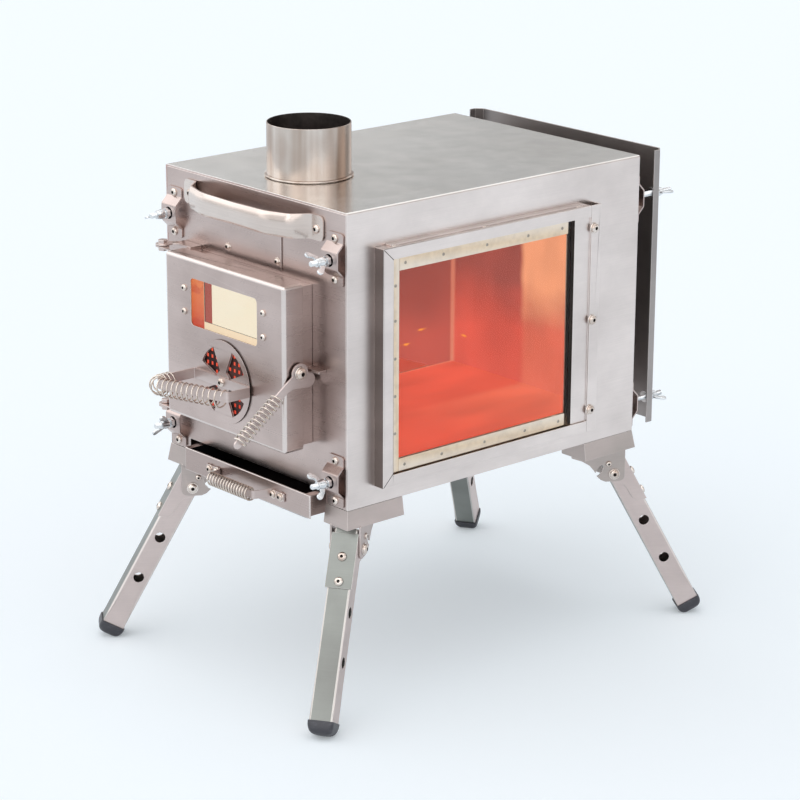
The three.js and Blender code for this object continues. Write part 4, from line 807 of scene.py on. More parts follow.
def wrap_finish(centre, normal):
    if firebox_skin(centre, normal):
        return 2
    # level faces on top take the lighter steel, a painted light
    return 1 if normal.z > FACING and centre.z > BODY_HIGH.z - 1 else 0


def add_shell():
    wrap = [WRAP_STEEL, TOP_LIT_STEEL, FIRE_WALL]
    dressed("body_wrap", "root", wrap, choose=wrap_finish)
    dressed("front_panel", "root", [FRONT_STEEL, FIRE_WALL], 0.9, choose=firebox_skin)
    dressed("back_panel", "root", [WRAP_STEEL, FIRE_WALL], choose=firebox_skin)
    floor_top = span("firebox_floor")[1].z
    lit = lambda centre, normal: int(centre.z > floor_top - NEAR)
    dressed("firebox_floor", "root", [DARK_STEEL, FIRE_FLOOR], choose=lit)
    dressed("door_frame", "root", [FRONT_STEEL])


FLUE_WALL = 1.2
FLUE_BEAD = 2.4
FLUE_LIP = 0.4  # broken edge of the flue's mouth
FLUE_SIDES = 144
LAP_START = 238  # degrees round the flue where its sheet laps over itself
LAP_WIDTH = 14
LAP_STEP = 0.45  # how far the lap stands out


def add_flue():
    """The flue collar: a lapped and seam-welded pipe with a rolled bead where it meets the top."""
    low, high = span("flue_collar")
    centre = (low + high) / 2
    outside = (high.x - low.x) / 2 - FLUE_BEAD
    bead_low = BODY_HIGH.z + GAP
    profile = [(outside, low.z), (outside, bead_low)]
    for step in range(9):
        angle = math.radians(-90 + 180 * step / 8)
        rise = FLUE_BEAD / 2 * (1 + math.sin(angle))
        profile.append((outside + FLUE_BEAD * math.cos(angle), bead_low + rise))
    profile.append((outside, bead_low + FLUE_BEAD))
    profile += [(outside, high.z - FLUE_LIP), (outside - FLUE_LIP, high.z)]
    first_inside = len(profile)
    inside = outside - FLUE_WALL
    profile += [(inside + FLUE_LIP, high.z), (inside, high.z - FLUE_LIP), (inside, low.z)]
    rings = []
    for k, (radius, z) in enumerate(profile):
        loop = []
        for i in range(FLUE_SIDES):
            angle = math.tau * i / FLUE_SIDES
            lapped = 0 <= math.degrees(angle) - LAP_START < LAP_WIDTH and k < first_inside - 1
            reach = radius + (LAP_STEP if lapped else 0)
            loop.append(Vector((reach * math.cos(angle), reach * math.sin(angle), z)))
        rings.append(loop)
    corners, faces = loft(rings, closed=True)
    marks = [i // FLUE_SIDES >= first_inside for i in range(len(faces))]
    form = Form().add((corners, faces, marks), Matrix.Translation((centre.x, centre.y, 0)))
    form.piece("flue", "root", "bright_steel", [FLUE_STEEL, FLUE_INSIDE], ["flue_collar"])


HANDLE_SHEET = 1.6
HANDLE_FOOT = -1.3  # y of the feet's middle plane
HANDLE_BULGE = 4.6  # how far its rolled middle stands out
HANDLE_CORNER = 6
HANDLE_TALL = 13.2  # half the band's height at its ends
HANDLE_WAIST = 1.8  # how much less that is in its middle
FOOT_WIDTH = 21
ROLL_LENGTH = 26  # from a flat foot to the fully rolled band


def add_carry_handle():
    """A strip rolled into a shallow trough that flattens into a round-cornered plate at each end."""
    low, high = span("carry_handle")
    reach = high.x
    bow = low.y + HANDLE_SHEET + HANDLE_BULGE * 0.6
    half = [(-reach, HANDLE_FOOT), (-reach + 20, HANDLE_FOOT, 6)]
    half += [(-reach + 33, bow + 9, 14), (-reach + 62, bow, 70)]
    foot_middle = (low.z + high.z) / 2
    rings = []
    for here, across, share, end in walk(bent(mirrored(half), 12), 150):
        open_share = min(max((end - FOOT_WIDTH) / ROLL_LENGTH, 0), 1)
        rolled = open_share * open_share * (3 - 2 * open_share)
        tall = HANDLE_TALL - HANDLE_WAIST * min(share, 1 - share) * 2 - rounded_off(end, HANDLE_CORNER)
        outer = []
        inner = []
        for k in range(13):
            level = -1 + k / 6
            swell = HANDLE_BULGE * rolled * (math.sqrt(max(1 - 0.92 * level * level, 0)) - 0.28)
            z = foot_middle + tall * level
            outer.append(Vector((*(here - across * (swell + HANDLE_SHEET / 2)), z)))
            inner.append(Vector((*(here - across * (swell - HANDLE_SHEET / 2)), z)))
        rings.append(outer + inner[::-1])
    form = Form().add(loft(rings))
    for side in (-1, 1):
        place = (side * (reach - FOOT_WIDTH / 2), HANDLE_FOOT - HANDLE_SHEET / 2, foot_middle - 1.4)
        form.add(button_head(*SCREW_HEAD), facing(FRONT, place, 20), 1, 2)
    materials = [HANDLE_STEEL, BRIGHT_STEEL, RECESS_SHADE]
    form.piece("handle", "root", "bright_steel", materials, ["carry_handle"], 40)


BADGE_SHEET = 1.2
BADGE_SCREW = (41, 9.5)  # from the plate's middle and from its lower edge


def add_badge_plate():
    """The bare plate behind the handle, with its two flanged screws."""
    face = -GAP - BADGE_SHEET
    dressed("badge_plate", "root", [FRONT_STEEL], shave=set_back_to(face))
    form = Form()
    for side in (-1, 1):
        place = (side * BADGE_SCREW[0], face, span("badge_plate")[0].z + BADGE_SCREW[1])
        add_flanged_screw(form, FRONT, place, (4.6, 0.7, 24), (3.6, 2.0, 0.5))
    form.piece("badge_screws", "root", "bright_steel", SCREW_TONES)


# ---------------------------------------------------------------- door

DOOR_LOW, DOOR_HIGH = span("door_pan")
DOOR_HALF = 99
DOOR_FRONT = -41
DOOR_EDGE = 3.5  # radius of the pressed door's front edges
WINDOW_SCREW_X = 66
WINDOW_SCREW_Z = (175.25, 200.75)
GLOW_FACE = (-40, 72, 40, 153)  # x and z limits of the glow behind the air plate
GLOW_DEPTH = -36


def pressed_edge(a, b):
    """Whether an edge is one of the door pan's outer box edges round its front."""
    shared = 0
    sides = ((0, (-DOOR_HALF, DOOR_HALF)), (1, (DOOR_FRONT,)), (2, (DOOR_LOW.z, DOOR_HIGH.z)))
    for axis, values in sides:
        shared += any(abs(a[axis] - v) < 0.02 and abs(b[axis] - v) < 0.02 for v in values)
    return shared > 1


def add_door():
    rounds = [(pressed_edge, DOOR_EDGE)]
    dressed("door_pan", "door", [FRONT_STEEL], 0.25, rounds, set_back_to(DOOR_FRONT))
    form = Form()
    for x in (-WINDOW_SCREW_X, WINDOW_SCREW_X):
        for z in WINDOW_SCREW_Z:
            form.add(button_head(3.8, 2.6, 0.42), facing(FRONT, (x, DOOR_FRONT, z), 15), 0, 1)
    form.piece("window_screws", "door", "bright_steel", SCREW_TONES)
    dressed("door_liner", "door", [LINER])
    # painted glow: an emissive plate behind the air plate stands in for the fire's light seen through it
    glow = Form().add(plate(rounded_box(*GLOW_FACE, 3), 0.4), basis(RIGHT, UP, FRONT, (0, GLOW_DEPTH, 0)))
    glow.piece("ember_glow", "door", "pierced_steel", [EMBERS])
    dressed("door_glass", "door", [GLASS], 0)
    dressed("air_mesh_plate", "door", [PIERCED], 0.12)


def add_grip(spring, matrix, name, body, node):
    Form().add(spring, matrix).piece(name, body, "bright_steel", [SPRING_STEEL], [node])


DAMPER_MIDDLE = 112.5
DAMPER_RADIUS = 45
DAMPER_FACE = -42.8
WEDGE_INNER = 12
WEDGE_OUTER = 38
WEDGE_HALF = 21
STRAP_FACE = -43.55
STRAP_RIGHT = (46, -72.8)
STRAP_LEFT = (-47, -100.8)
STRAP = [(0, STRAP_FACE), (STRAP_RIGHT[0], STRAP_FACE, 1.6), (*STRAP_RIGHT, 2.2)]
STRAP += [(*STRAP_LEFT, 11), (STRAP_LEFT[0], STRAP_FACE, 1.6), (0, STRAP_FACE)]
STRAP_LOW = 107
STRAP_WIDTH = 11
SPRING_START = 43  # x where the damper's spring begins on the strap's front bar
SPRING_SAG = 2.5  # how low the loose spring hangs
SPRING_END = -73  # y where it ends, past the left corner


def air_disc():
    """The disc with its four wedge holes, whose rim's faces are marked for the recess's painted shade."""
    wedges = []
    for centre in (45, 135, 225, 315):
        outer = arc((0, 0), WEDGE_OUTER, centre - WEDGE_HALF, centre + WEDGE_HALF, 10)
        inner = arc((0, 0), WEDGE_INNER, centre + WEDGE_HALF, centre - WEDGE_HALF, 4)
        wedges.append(outer + inner)
    rim = arc((0, 0), DAMPER_RADIUS, 0, 357, 119)
    corners, faces = softened(plate(rim, SHEET, wedges), 0.2, 1, None, 40)
    marks = []
    for face in faces:
        reach = [corners[i].xy.length for i in face]
        levels = [corners[i].z for i in face]
        marks.append(min(reach) > DAMPER_RADIUS - NEAR and max(levels) - min(levels) > 0.5)
    return corners, faces, marks


def add_damper():
    """The air disc, the folded strap handle with its spring, and its centre screw."""
    form = Form()
    form.add(air_disc(), facing(FRONT, (0, DAMPER_FACE + SHEET, DAMPER_MIDDLE)), 0, 3)
    strap = softened(ribbon(STRAP, SHEET, STRAP_WIDTH), 0.3, 2, None, 60)
    form.add(strap, Matrix.Translation((0, 0, STRAP_LOW)), 1)
    screw = Vector((0, DAMPER_FACE - SHEET, DAMPER_MIDDLE))
    form.add(button_head(5.0, 3.6, 0.4), facing(FRONT, screw), 2, 3)
    materials = [FRONT_STEEL, PALE_STEEL, BRIGHT_STEEL, RECESS_SHADE]
    form.piece("damper", "damper", "steel", materials, ["damper_disc"])
    slope = (STRAP_LEFT[1] - STRAP_RIGHT[1]) / (STRAP_RIGHT[0] - STRAP_LEFT[0])
    start = STRAP_RIGHT[1] + slope * (STRAP_RIGHT[0] - SPRING_START)
    line = bent([(SPRING_START, start), (*STRAP_LEFT, 11), (STRAP_LEFT[0], SPRING_END)], 12)
    spring = coil(line, radius=9.15, turns=18, wire_radius=0.8, start=0.6, crowd=0.2)
    place = Matrix.Translation((0, 0, STRAP_LOW + STRAP_WIDTH / 2 - SPRING_SAG))
    add_grip(spring, place, "damper_grip", "damper", "damper_spring")


LATCH_PIVOT = Vector((102.2, -23, 141.5))
LATCH_SLOPE = 36
LATCH_SHEET = 2
LATCH_HEAD = 10.5
LATCH_HALF = 4.5
LATCH_LENGTH = 105
LOBE_MIDDLE = (11.6, -8.7)
LOBE_RADIUS = 7.9
LATCH_SPACER = 99.3  # x where the spacer between the door and the lever begins
LATCH_NUT = 97.2


def add_latch():
    """The lever: a round head with a lobe that rests under the keeper, and a long slim arm."""
    arm = 180 + LATCH_SLOPE
    along = Vector((math.cos(math.radians(arm)), math.sin(math.radians(arm))))
    below = Vector((-along.y, along.x))
    root = math.degrees(math.asin(LATCH_HALF / LATCH_HEAD))
    outline = arc((0, 0), LATCH_HEAD, arm - root, -4, 16)
    outline += arc(LOBE_MIDDLE, LOBE_RADIUS, 90, -90, 12)
    outline += [(-3, -15.6), (-10, -15.2)]
    outline += [tuple(along * 25 + below * LATCH_HALF)]
    tip = along * (LATCH_LENGTH - LATCH_HALF)
    outline += arc(tip, LATCH_HALF, arm + 90, arm - 90, 10)
    lever = softened(plate(outline, LATCH_SHEET), 0.35, 2, None, 50)
    side = sideways(LATCH_PIVOT - RIGHT * LATCH_SHEET / 2)
    Form().add(lever, side).piece("latch", "latch", "steel", [PALE_STEEL], ["latch_lever"])
    spring = coil([along * 36, along * 98], radius=6.9, turns=11.5, wire_radius=0.95, start=0.3)
    add_grip(spring, sideways(LATCH_PIVOT), "latch_grip", "latch", "latch_spring")
    form = Form()
    seat = LATCH_PIVOT + RIGHT * 1.3
    spacer = lathe([(5.6, 0), (5.6, seat.x - 0.6 - LATCH_SPACER)], 24)
    form.add(spacer, facing(RIGHT, (LATCH_SPACER, seat.y, seat.z)))
    form.add(lathe([(7.0, 0), (7.3, 0.3), (7.0, 0.8)], 28), facing(RIGHT, seat))
    form.add(button_head(6.0, 3.6, 0.42), facing(RIGHT, seat + RIGHT * 0.7, 10), 0, 1)
    form.add(hex_nut(5, 3), facing(-RIGHT, (LATCH_NUT, seat.y, seat.z)))
    form.piece("latch_bolt", "door", "bright_steel", SCREW_TONES, ["latch_screw"])


# ---------------------------------------------------------------- ash drawer

DRAWER_LOW, DRAWER_HIGH = span("ash_drawer")
DRAWER_EDGE = 1.2
TRAY_MIDDLE = Vector((5, 130, 30))
TRAY_RIM = 10  # level faces above this are the tray's rim
GRIP_X = 5
GRIP_Z = -2
GRIP_BAR = -38.05
GRIP_HEIGHT = 9
GRIP_SCREWS = (-60, -48, 48, 60)


def drawer_inside(centre, normal):
    """1 for a face that looks into the drawer's tray, else 0."""
    inside_x = DRAWER_LOW.x + 2 < centre.x < DRAWER_HIGH.x - 2
    inside_y = DRAWER_LOW.y + 1 < centre.y < DRAWER_HIGH.y - 1
    towards = normal.dot(TRAY_MIDDLE - centre) > 0
    rim = normal.z > FACING and centre.z > TRAY_RIM
    return int(inside_x and inside_y and centre.z > DRAWER_LOW.z + 1 and towards and not rim)


def front_edge(a, b):
    return abs(a.y - DRAWER_LOW.y) < 0.02 and abs(b.y - DRAWER_LOW.y) < 0.02


def add_drawer():
    rounds = [(front_edge, DRAWER_EDGE)]
    # the faces inside the tray take a painted shade
    tones = [FRONT_STEEL, TRAY_SHADE]
    dressed("ash_drawer", "drawer", tones, 0.2, rounds, choose=drawer_inside)
    face = DRAWER_LOW.y - GAP - SHEET / 2
    line = mirrored([(-66, face), (-43, face, 2), (-37, GRIP_BAR, 3)])
    line = [(GRIP_X + x, *more) for x, *more in line]
    strip = softened(ribbon(line, SHEET, GRIP_HEIGHT), 0.3, 2, None, 60)
    form = Form().add(strip, Matrix.Translation((0, 0, GRIP_Z - GRIP_HEIGHT / 2)), 0)
    for x in GRIP_SCREWS:
        place = (GRIP_X + x, face - SHEET / 2, GRIP_Z)
        add_flanged_screw(form, FRONT, place, (5.1, 0.7, 24), (4.1, 2.6), x, 1, 2)
    materials = [PALE_STEEL, BRIGHT_STEEL, RECESS_SHADE]
    form.piece("drawer_bow", "drawer", "bright_steel", materials, ["drawer_handle"])
    line = [Vector((GRIP_X + x, GRIP_BAR)) for x in (-34, 34)]
    spring = coil(line, radius=6.7, turns=15, wire_radius=0.9)
    add_grip(spring, Matrix.Translation((0, 0, GRIP_Z)), "drawer_grip", "drawer", "drawer_spring")


# ---------------------------------------------------------------- studs, wing nuts and shield

BRACKET_WIDTH = 25
BRACKET_HALF = 27.5
BRACKET_FLAT = 9
BRACKET_FOOT = 17
BRACKET_RISE = 8
BRACKET_BEND = 2.5
FEET_CORNER = 3.5
SCREW_SPREAD = 21.5
STUD_RADIUS = 3
NUT_RADIUS = 5.5
NUT_HEIGHT = 5
FRONT_SEATS = (-9.8, -17.5)  # y of a hexagon nut's and a wing nut's seat on the front studs
REAR_SEATS = (450.2, 457.3)
FRONT_TIP = -34
CORNERS = [(level, side) for level in ("upper", "lower") for side in ("right", "left")]


def hat_bracket():
    """A strip bent up to a raised middle, its two feet flat on z = 0 with rounded corners."""
    low = SHEET / 2
    high = low + BRACKET_RISE
    half = [(-BRACKET_HALF, low), (-BRACKET_FOOT, low, BRACKET_BEND), (-BRACKET_FLAT, high, BRACKET_BEND)]
    rings = []
    for here, across, _, end in walk(bent(mirrored(half), 5), 90):
        half_width = BRACKET_WIDTH / 2 - rounded_off(end, FEET_CORNER)
        top = here + across * SHEET / 2
        base = here - across * SHEET / 2
        loop = [Vector((half_width, top.x, top.y)), Vector((-half_width, top.x, top.y))]
        loop += [Vector((-half_width, base.x, base.y)), Vector((half_width, base.x, base.y))]
        rings.append(loop)
    return loft(rings)


def add_stud(node, body_face, outward, nut_seat, tip):
    """A hat bracket with two screws, its threaded stud and the hexagon nut on it."""
    centre = middle(node)
    base = Vector((centre.x, body_face, centre.z))
    form = Form().add(hat_bracket(), facing(outward, base), 0)
    for side in (-1, 1):
        seat = base + outward * SHEET + UP * side * SCREW_SPREAD
        form.add(button_head(*SCREW_HEAD), facing(outward, seat, 25 * side), 1, 3)
    start = base + outward * BRACKET_RISE
    form.add(thread(STUD_RADIUS, (tip - start.y) * outward.y), facing(outward, start), 2)
    seat = Vector((centre.x, nut_seat, centre.z))
    form.add(lathe([(6.6, -0.9), (6.8, -0.5), (6.6, 0)], 28), facing(outward, seat), 2)
    form.add(hex_nut(NUT_RADIUS * 1.04, NUT_HEIGHT), facing(outward, seat, 10), 2)
    form.piece(node + ".fine", "root", "steel", [FRONT_STEEL, BRIGHT_STEEL, ZINC, RECESS_SHADE], [node])


def wing_angle(node, outward):
    """The way a wing nut's wings point, in degrees about the outward direction."""
    axis = middle(node)
    double = complex(0, 0)
    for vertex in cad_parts[node].data.vertices:
        corner = TO_BODY @ vertex.co - axis
        double += complex(corner.x * -outward.y, corner.z) ** 2
    return math.degrees(math.atan2(double.imag, double.real)) / 2


WING_SHEET = 2.2
BARREL = [(5.2, 0), (5.6, 0.5), (5.5, 2.2), (4.7, 6.4), (4.3, 8.6), (3.4, 9.0)]


def add_wing_nut(node, body, outward, seat):
    """A turned barrel with two pressed wings that sweep outward and forward."""
    outline = [(3.2, 1.0), (6.6, 1.6), (10.2, 4.4), (13.4, 8.0)]
    outline += arc((11.9, 11.4), 3.5, -40, 165, 10)
    outline += [(7.4, 9.0), (5.6, 7.8), (3.2, 7.6)]
    wing = softened(plate(outline, WING_SHEET), 0.5, 2, None, 40)
    upright = basis(RIGHT, UP, FRONT, (0, WING_SHEET / 2, 0))
    centre = middle(node)
    placed = facing(outward, (centre.x, seat, centre.z), wing_angle(node, outward))
    form = Form().add(lathe(BARREL, 28), placed)
    for turn in (0, math.pi):
        form.add(wing, placed @ Matrix.Rotation(turn, 4, "Z") @ upright)
    form.piece(node + ".fine", body, "zinc", [ZINC], [node])


def add_studs():
    for level, side in CORNERS:
        where = f"{level}_{side}"
        add_stud("stud_front_" + where, -GAP, FRONT, FRONT_SEATS[0], FRONT_TIP)
        add_wing_nut("wing_nut_front_" + where, "wing_front_" + where, FRONT, FRONT_SEATS[1])
        tip = span("stud_rear_" + where)[1].y
        add_stud("stud_rear_" + where, BODY_HIGH.y + GAP, BACK, REAR_SEATS[0], tip)
        add_wing_nut("wing_nut_rear_" + where, "wing_rear_" + where, BACK, REAR_SEATS[1])
    dressed("heat_shield", "root", [SHIELD_STEEL], 0.3)


# ---------------------------------------------------------------- side windows

RAIL_STRIP = 1.6  # height of the second strip on a frame
RAIL_DEPTH = 8
RAIL_START = 14  # from the frame's front to that strip
RAIL_END = 6
GROOVE_INSET = 0.8  # from the frame's outer corner to its mitre groove
GROOVE_HALF = 0.35
BEAD = [(1.7, 0), (1.6, 0.5), (0.9, 0.9)]  # a weld bead's profile
CLAMP_FACE = 164.3
CLAMP_SCREW_Y = 334.5
CLAMP_SCREWS = (44.6, 146.5, 248.4)
STRIP_FRONT = 50
STRIP_REAR = 308
STRIP_HIGH = 260.7
STRIP_LOW = 33
STRIP_WIDTH = 11
STRIP_TALL = 13.7  # height of the upper and lower strips
BAR_WIDTH = 18  # the bright upright bar behind them
PANE_FACE = 160  # outer face of the side window's glass
RIVET = [(1.8, 0), (1.7, 0.3), (1.0, 0.6)]
RIVETS = (68, 120, 181, 240, 290)
FRONT_RIVETS = (75, 115, 155, 195, 232)


def add_window_frame(side, name):
    """A channel frame with grooved mitres, and a second strip with weld beads on its top."""
    node = "window_frame_" + name
    # painted shade: the faces that look forward take a darker steel
    faces_front = lambda centre, normal: int(normal.y < -FACING)
    dressed(node, "root", [WRAP_STEEL, FRAME_FRONT_SHADE], 0.45, choose=faces_front)
    low, high = span(node)
    face = side * max(abs(low.x), abs(high.x))
    extras = Form()
    for corner_z, inner_z in ((high.z, STRIP_HIGH), (low.z, STRIP_LOW)):
        inward = math.copysign(GROOVE_INSET, inner_z - corner_z)
        start = Vector((low.y + GROOVE_INSET, corner_z + inward))
        end = Vector((STRIP_FRONT - 0.5, inner_z))
        across = (end - start).orthogonal().normalized() * GROOVE_HALF
        groove = (start + across, start - across, end - across, end + across)
        extras.add(plate(groove, 0.1), sideways((face - 0.05, 0, 0)), 1)
    back_edge = high.y - RAIL_END
    outline = rounded_box(low.y + RAIL_START, 0, back_edge, RAIL_STRIP, 0.3, 1)
    root_x = side * (BODY_HIGH.x + 0.4) - (RAIL_DEPTH if side < 0 else 0)
    extras.add(softened(plate(outline, RAIL_DEPTH), 0.25), sideways((root_x, 0, high.z)), 0)
    stretched = Matrix.Diagonal((1, 2.2, 1, 1))
    for y in (low.y + 20, (low.y + back_edge) / 2, back_edge - 8):
        place = (side * (BODY_HIGH.x + 8.6), y, high.z)
        extras.add(lathe(BEAD, 12), Matrix.Translation(place) @ stretched, 2)
    extras.piece("frame_rail_" + name, "root", "steel", [WRAP_STEEL, RECESS_SHADE, HANDLE_STEEL])


def add_clamp(side, name):
    """The clamp behind a pane, with its three flanged screws."""
    flat = lambda corner: Vector((side * min(side * corner.x, CLAMP_FACE), corner.y, corner.z))
    dressed("window_clamp_" + name, "root", [WRAP_STEEL], 0.4, shave=flat)
    form = Form()
    for z in CLAMP_SCREWS:
        place = (side * CLAMP_FACE, CLAMP_SCREW_Y, z)
        add_flanged_screw(form, RIGHT * side, place, (6.0, 0.9, 28), (5.0, 3.0, 0.42), z)
    form.piece("clamp_screws_" + name, "root", "bright_steel", SCREW_TONES)


def add_window_strips(side, name):
    """The riveted strips round a pane, and behind them a dark strip of painted shade in the gap, the bar
    and the light strip.
    """
    trim = Form()
    sheet = sideways((side * (PANE_FACE + 0.4) - 0.3, 0, 0))

    def add_strip(front, back, low, high, thickness, finish, edge=0):
        shape = plate(rounded_box(front, low, back, high, 0.4, 1), thickness)
        trim.add(softened(shape, edge, 1) if edge else shape, sheet, finish)

    level_front = STRIP_FRONT + STRIP_WIDTH - 0.8
    level_back = STRIP_REAR - 9
    bar_back = STRIP_REAR + BAR_WIDTH
    add_strip(STRIP_FRONT, STRIP_FRONT + STRIP_WIDTH - 1, STRIP_LOW, STRIP_HIGH, 0.6, 0, 0.12)
    add_strip(level_front, level_back, STRIP_HIGH - STRIP_TALL, STRIP_HIGH, 0.6, 0, 0.12)
    add_strip(level_front, level_back, STRIP_LOW, STRIP_LOW + STRIP_TALL, 0.6, 0, 0.12)
    # painted shade: a dark strip in the gap before the bar
    add_strip(STRIP_REAR - 4, STRIP_REAR, STRIP_LOW, STRIP_HIGH, 0.3, 1)
    add_strip(bar_back, bar_back + 5, STRIP_LOW, STRIP_HIGH, 0.3, 3)
    add_strip(STRIP_REAR, bar_back, STRIP_LOW, STRIP_HIGH, 0.8, 2, 0.15)
    rivets = [(y, z) for z in (STRIP_HIGH - 6.4, STRIP_LOW + 6.4) for y in RIVETS]
    rivets += [(STRIP_FRONT + 4.8, z) for z in FRONT_RIVETS]
    for y, z in rivets:
        trim.add(lathe(RIVET, 16), facing(RIGHT * side, (side * (PANE_FACE + 0.7), y, z)), 4)
    materials = [GOLD_STRIP, RECESS_SHADE, HANDLE_STEEL, PALE_STEEL, RIVET_STEEL]
    trim.piece("window_strip_" + name, "root", "steel", materials)


def add_window(side, name):
    add_window_frame(side, name)
    dressed("window_glass_" + name, "root", [GLASS], 0)
    add_clamp(side, name)
    add_window_strips(side, name)


# ---------------------------------------------------------------- legs

LEG_TURN = math.radians(33.24)
LEG_SPLAY = math.radians(28.2)
PIVOT_X = 134
PIVOT_Y = 14.86  # from the body's front or back face to a leg's pivot
PIVOT_Z = -46.9
TUBE_INNER = -7.5
TUBE_OUTER = 17.5
TUBE_HALF = 12.5
CHANNEL_FACE = 19.4
CHANNEL_SCREWS = (12.8, 38.8)  # from the pivot down the leg
EAR_FACE = 16.7  # from a leg's middle plane to its bracket ear's outer face
PIN_REACH = 7  # corners nearer than this to the pivot's axis are the pin's
EAR_SCREW_UP = 12
EAR_SCREW_IN = 6.6
TREAD = 1.4  # how much deeper the rounded tread is, before the ground flattens it
CAP_RIM = 0.2  # share of the cap's depth that is straight
CAP_STEPS = 8


def leg_axes(side, end):
    """A leg's outward, pivot and upward directions, and its level way from the body."""
    radial = Vector((side * math.sin(LEG_TURN), end * math.cos(LEG_TURN), 0))
    up = UP * math.cos(LEG_SPLAY) - radial * math.sin(LEG_SPLAY)
    out = radial * math.cos(LEG_SPLAY) + UP * math.sin(LEG_SPLAY)
    return out, up.cross(out), up, radial


def add_foot_cap(name, body, to_leg):
    """A moulded cap with a straight rim and a rounded tread."""
    node = "foot_cap_" + name
    corners = [to_leg @ (TO_BODY @ vertex.co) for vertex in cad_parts[node].data.vertices]
    lowest = Vector([min(corner[axis] for corner in corners) for axis in range(3)])
    highest = Vector([max(corner[axis] for corner in corners) for axis in range(3)])
    depth = highest.z - lowest.z + TREAD
    half = (highest.y - lowest.y) / 2
    centre = (highest.x + lowest.x) / 2
    steps = [(0.97, 0.0), (1.0, 0.03), (1.0, CAP_RIM)]
    for step in range(1, CAP_STEPS + 1):
        angle = math.radians(step * 10.5)
        steps.append((math.cos(angle) ** 0.45, CAP_RIM + (1 - CAP_RIM) * math.sin(angle)))
    rings = []
    for share, drop in steps:
        wide = half * share
        outline = rounded_box(-wide, -wide, wide, wide, wide * (0.2 + 0.3 * drop), 7)
        rings.append([Vector((centre + x, y, highest.z - depth * drop)) for x, y in outline])
    shape = loft(rings)
    from_leg = to_leg.inverted()
    low, high = span(node)
    placed = [clamped(from_leg @ corner, low, high) for corner in shape[0]]
    Form().add((placed, shape[1])).piece(node + ".fine", body, "cap", [CAP_BLACK], [node], 60)


def add_bracket(name, pivot, across, radial):
    """The corner bracket, with a flanged pin head and a small screw on each ear."""

    def pin_flat(corner):
        reach = (corner - pivot).dot(across)
        near = (corner - pivot - across * reach).length < PIN_REACH
        past = max(abs(reach) - EAR_FACE, 0) if near else 0
        return corner - across * math.copysign(past, reach)

    dressed("leg_bracket_" + name, "root", [BRACKET_STEEL], 0.25, shave=pin_flat)
    pins = Form()
    for way in (-1, 1):
        seat = pivot + across * way * (EAR_FACE + 0.02)
        add_flanged_screw(pins, across * way, seat, (6.6, 0.9, 28), (5.4, 3.0, 0.4))
        seat += UP * EAR_SCREW_UP - radial * EAR_SCREW_IN
        pins.add(button_head(3.4, 2.2, 0.42), facing(across * way, seat, 20), 0, 1)
    pins.piece("leg_pins_" + name, "root", "bright_steel", SCREW_TONES)


def add_leg(side, end, name):
    pivot = Vector((side * PIVOT_X, PIVOT_Y if end < 0 else BODY_HIGH.y - PIVOT_Y, PIVOT_Z))
    out, across, up, radial = leg_axes(side, end)
    to_leg = basis(out, across, up, pivot).inverted()
    body = "leg_" + name

    def long_edge(a, b):
        a = to_leg @ a
        b = to_leg @ b
        along = abs(a.x - b.x) < 0.05 and abs(a.y - b.y) < 0.05
        outer = min(abs(a.x - TUBE_OUTER), abs(a.x - TUBE_INNER)) < 0.05
        return along and outer and abs(abs(a.y) - TUBE_HALF) < 0.05

    # painted light and shade: faces along the outward way take the darker steel, the sides the pale one
    def shaded_outer_face(centre, normal):
        return 0 if abs(normal.dot(out)) > 0.8 else 1

    tones = [LEG_SHADED_STEEL, PALE_STEEL]
    rounds = [(long_edge, 2.0)]
    dressed("leg_tube_" + name, body, tones, 0.2, rounds, choose=shaded_outer_face)
    flat = lambda corner: corner + out * min(CHANNEL_FACE - (to_leg @ corner).x, 0)
    dressed("leg_channel_" + name, body, tones, 0.35, shave=flat, choose=shaded_outer_face)
    form = Form()
    for drop in CHANNEL_SCREWS:
        place = pivot + out * CHANNEL_FACE - up * drop
        form.add(button_head(4.9, 3.2, 0.4), facing(out, place, drop), 0, 1)
    form.piece("leg_screws_" + name, body, "bright_steel", SCREW_TONES)
    add_foot_cap(name, body, to_leg)
    add_bracket(name, pivot, across, radial)


add_shell()
add_flue()
add_carry_handle()
add_badge_plate()
add_door()
add_damper()
add_latch()
add_drawer()
add_studs()
add_window(1, "right")
add_window(-1, "left")
for leg_end, end_name in ((-1, "front"), (1, "rear")):
    for leg_side, side_name in ((1, "right"), (-1, "left")):
        add_leg(leg_side, leg_end, f"{end_name}_{side_name}")

# ---------------------------------------------------------------- floor and light

BACKGROUND = shade(245, 252, 255)
FLOOR_TONE = shade(226, 232, 236)
FLOOR_GLOW = 0.23
AROUND = (0.5, 0.51, 0.53, 1)  # the light that falls on the stove from all sides
SUN_WIDTH = 110  # degrees


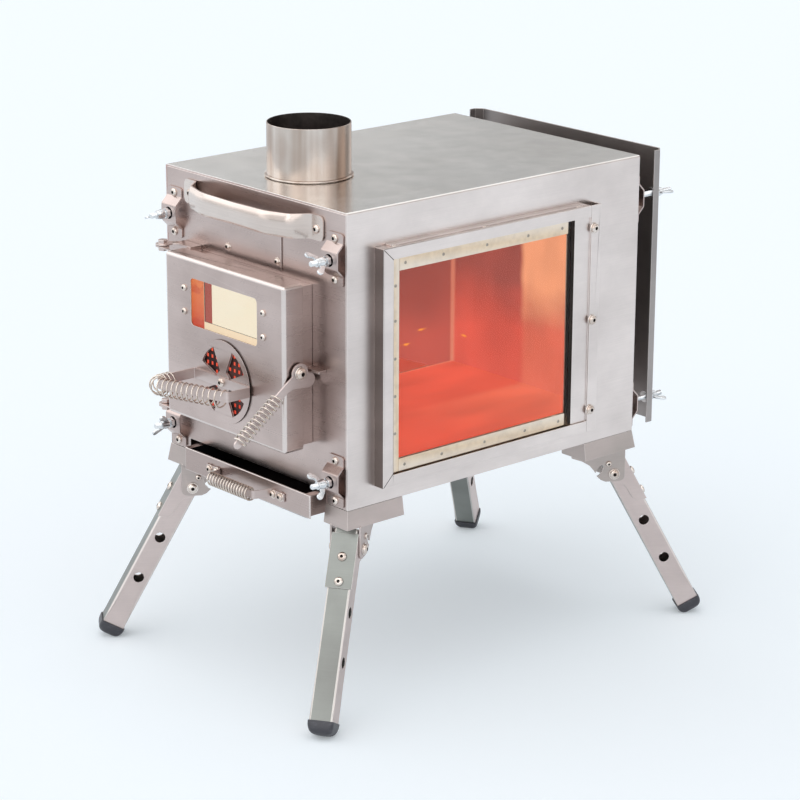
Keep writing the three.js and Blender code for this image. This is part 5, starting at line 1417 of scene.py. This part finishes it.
def seen_plainly(nodes):
    """The ray's kinds, and 1 for a ray from the camera, metal or glass."""
    seen = nodes.node("LightPath", {}).outputs
    plain = nodes.math("MAXIMUM", seen["Is Camera Ray"], seen["Is Glossy Ray"])
    return seen, nodes.math("MAXIMUM", plain, seen["Is Transmission Ray"])


def add_floor():
    """A pale floor that the camera, metal and glass see near the background's colour, and that
    keeps the stove's soft shadow."""
    bpy.ops.mesh.primitive_plane_add(size=40, location=(0, 0, 0))
    floor = bpy.context.object
    floor.name = "floor"
    paint = Paint("floor")
    glow = paint.times(seen_plainly(paint)[1], FLOOR_GLOW)
    paint.surface(Base_Color=FLOOR_TONE, Roughness=0.9, Specular_IOR_Level=0)
    paint.surface(Emission_Color=BACKGROUND, Emission_Strength=glow)
    floor.data.materials.append(paint.material)


def add_sun(name, source, power):
    """A wide soft sun that shines from a direction."""
    lamp = bpy.data.objects.new(name, bpy.data.lights.new(name, "SUN"))
    lamp.data.energy = power
    lamp.data.angle = math.radians(SUN_WIDTH)
    bpy.context.scene.collection.objects.link(lamp)
    lamp.rotation_euler = Vector(source).to_track_quat("Z", "Y").to_euler()


def add_world():
    """Even light all round, the background's colour where the world is seen, and soft bright and
    dark parts for the metal to mirror."""
    world = bpy.data.worlds.new("studio")
    bpy.context.scene.world = world
    world.use_nodes = True
    world.node_tree.nodes.clear()
    nodes = Nodes(world.node_tree)
    seen, plain = seen_plainly(nodes)
    inputs = {"Vector": nodes.place("Generated"), "Scale": 2.3, "Detail": 1.0}
    softbox = nodes.ramp(nodes.node("TexNoise", inputs).outputs["Fac"], 0.4, 0.58, 0.3, 1.4)
    studio = nodes.blend(seen["Is Glossy Ray"], BACKGROUND, softbox)
    light = nodes.node("Background", {"Color": nodes.blend(plain, AROUND, studio)})
    nodes.node("OutputWorld", {"Surface": light.outputs[0]})


add_floor()
add_world()
add_sun("key", (-0.8, -1.6, 2.6), 1.2)
add_sun("fill", (2.2, -1.2, 2.0), 0.6)

scene = bpy.context.scene
scene.view_settings.view_transform = "Standard"
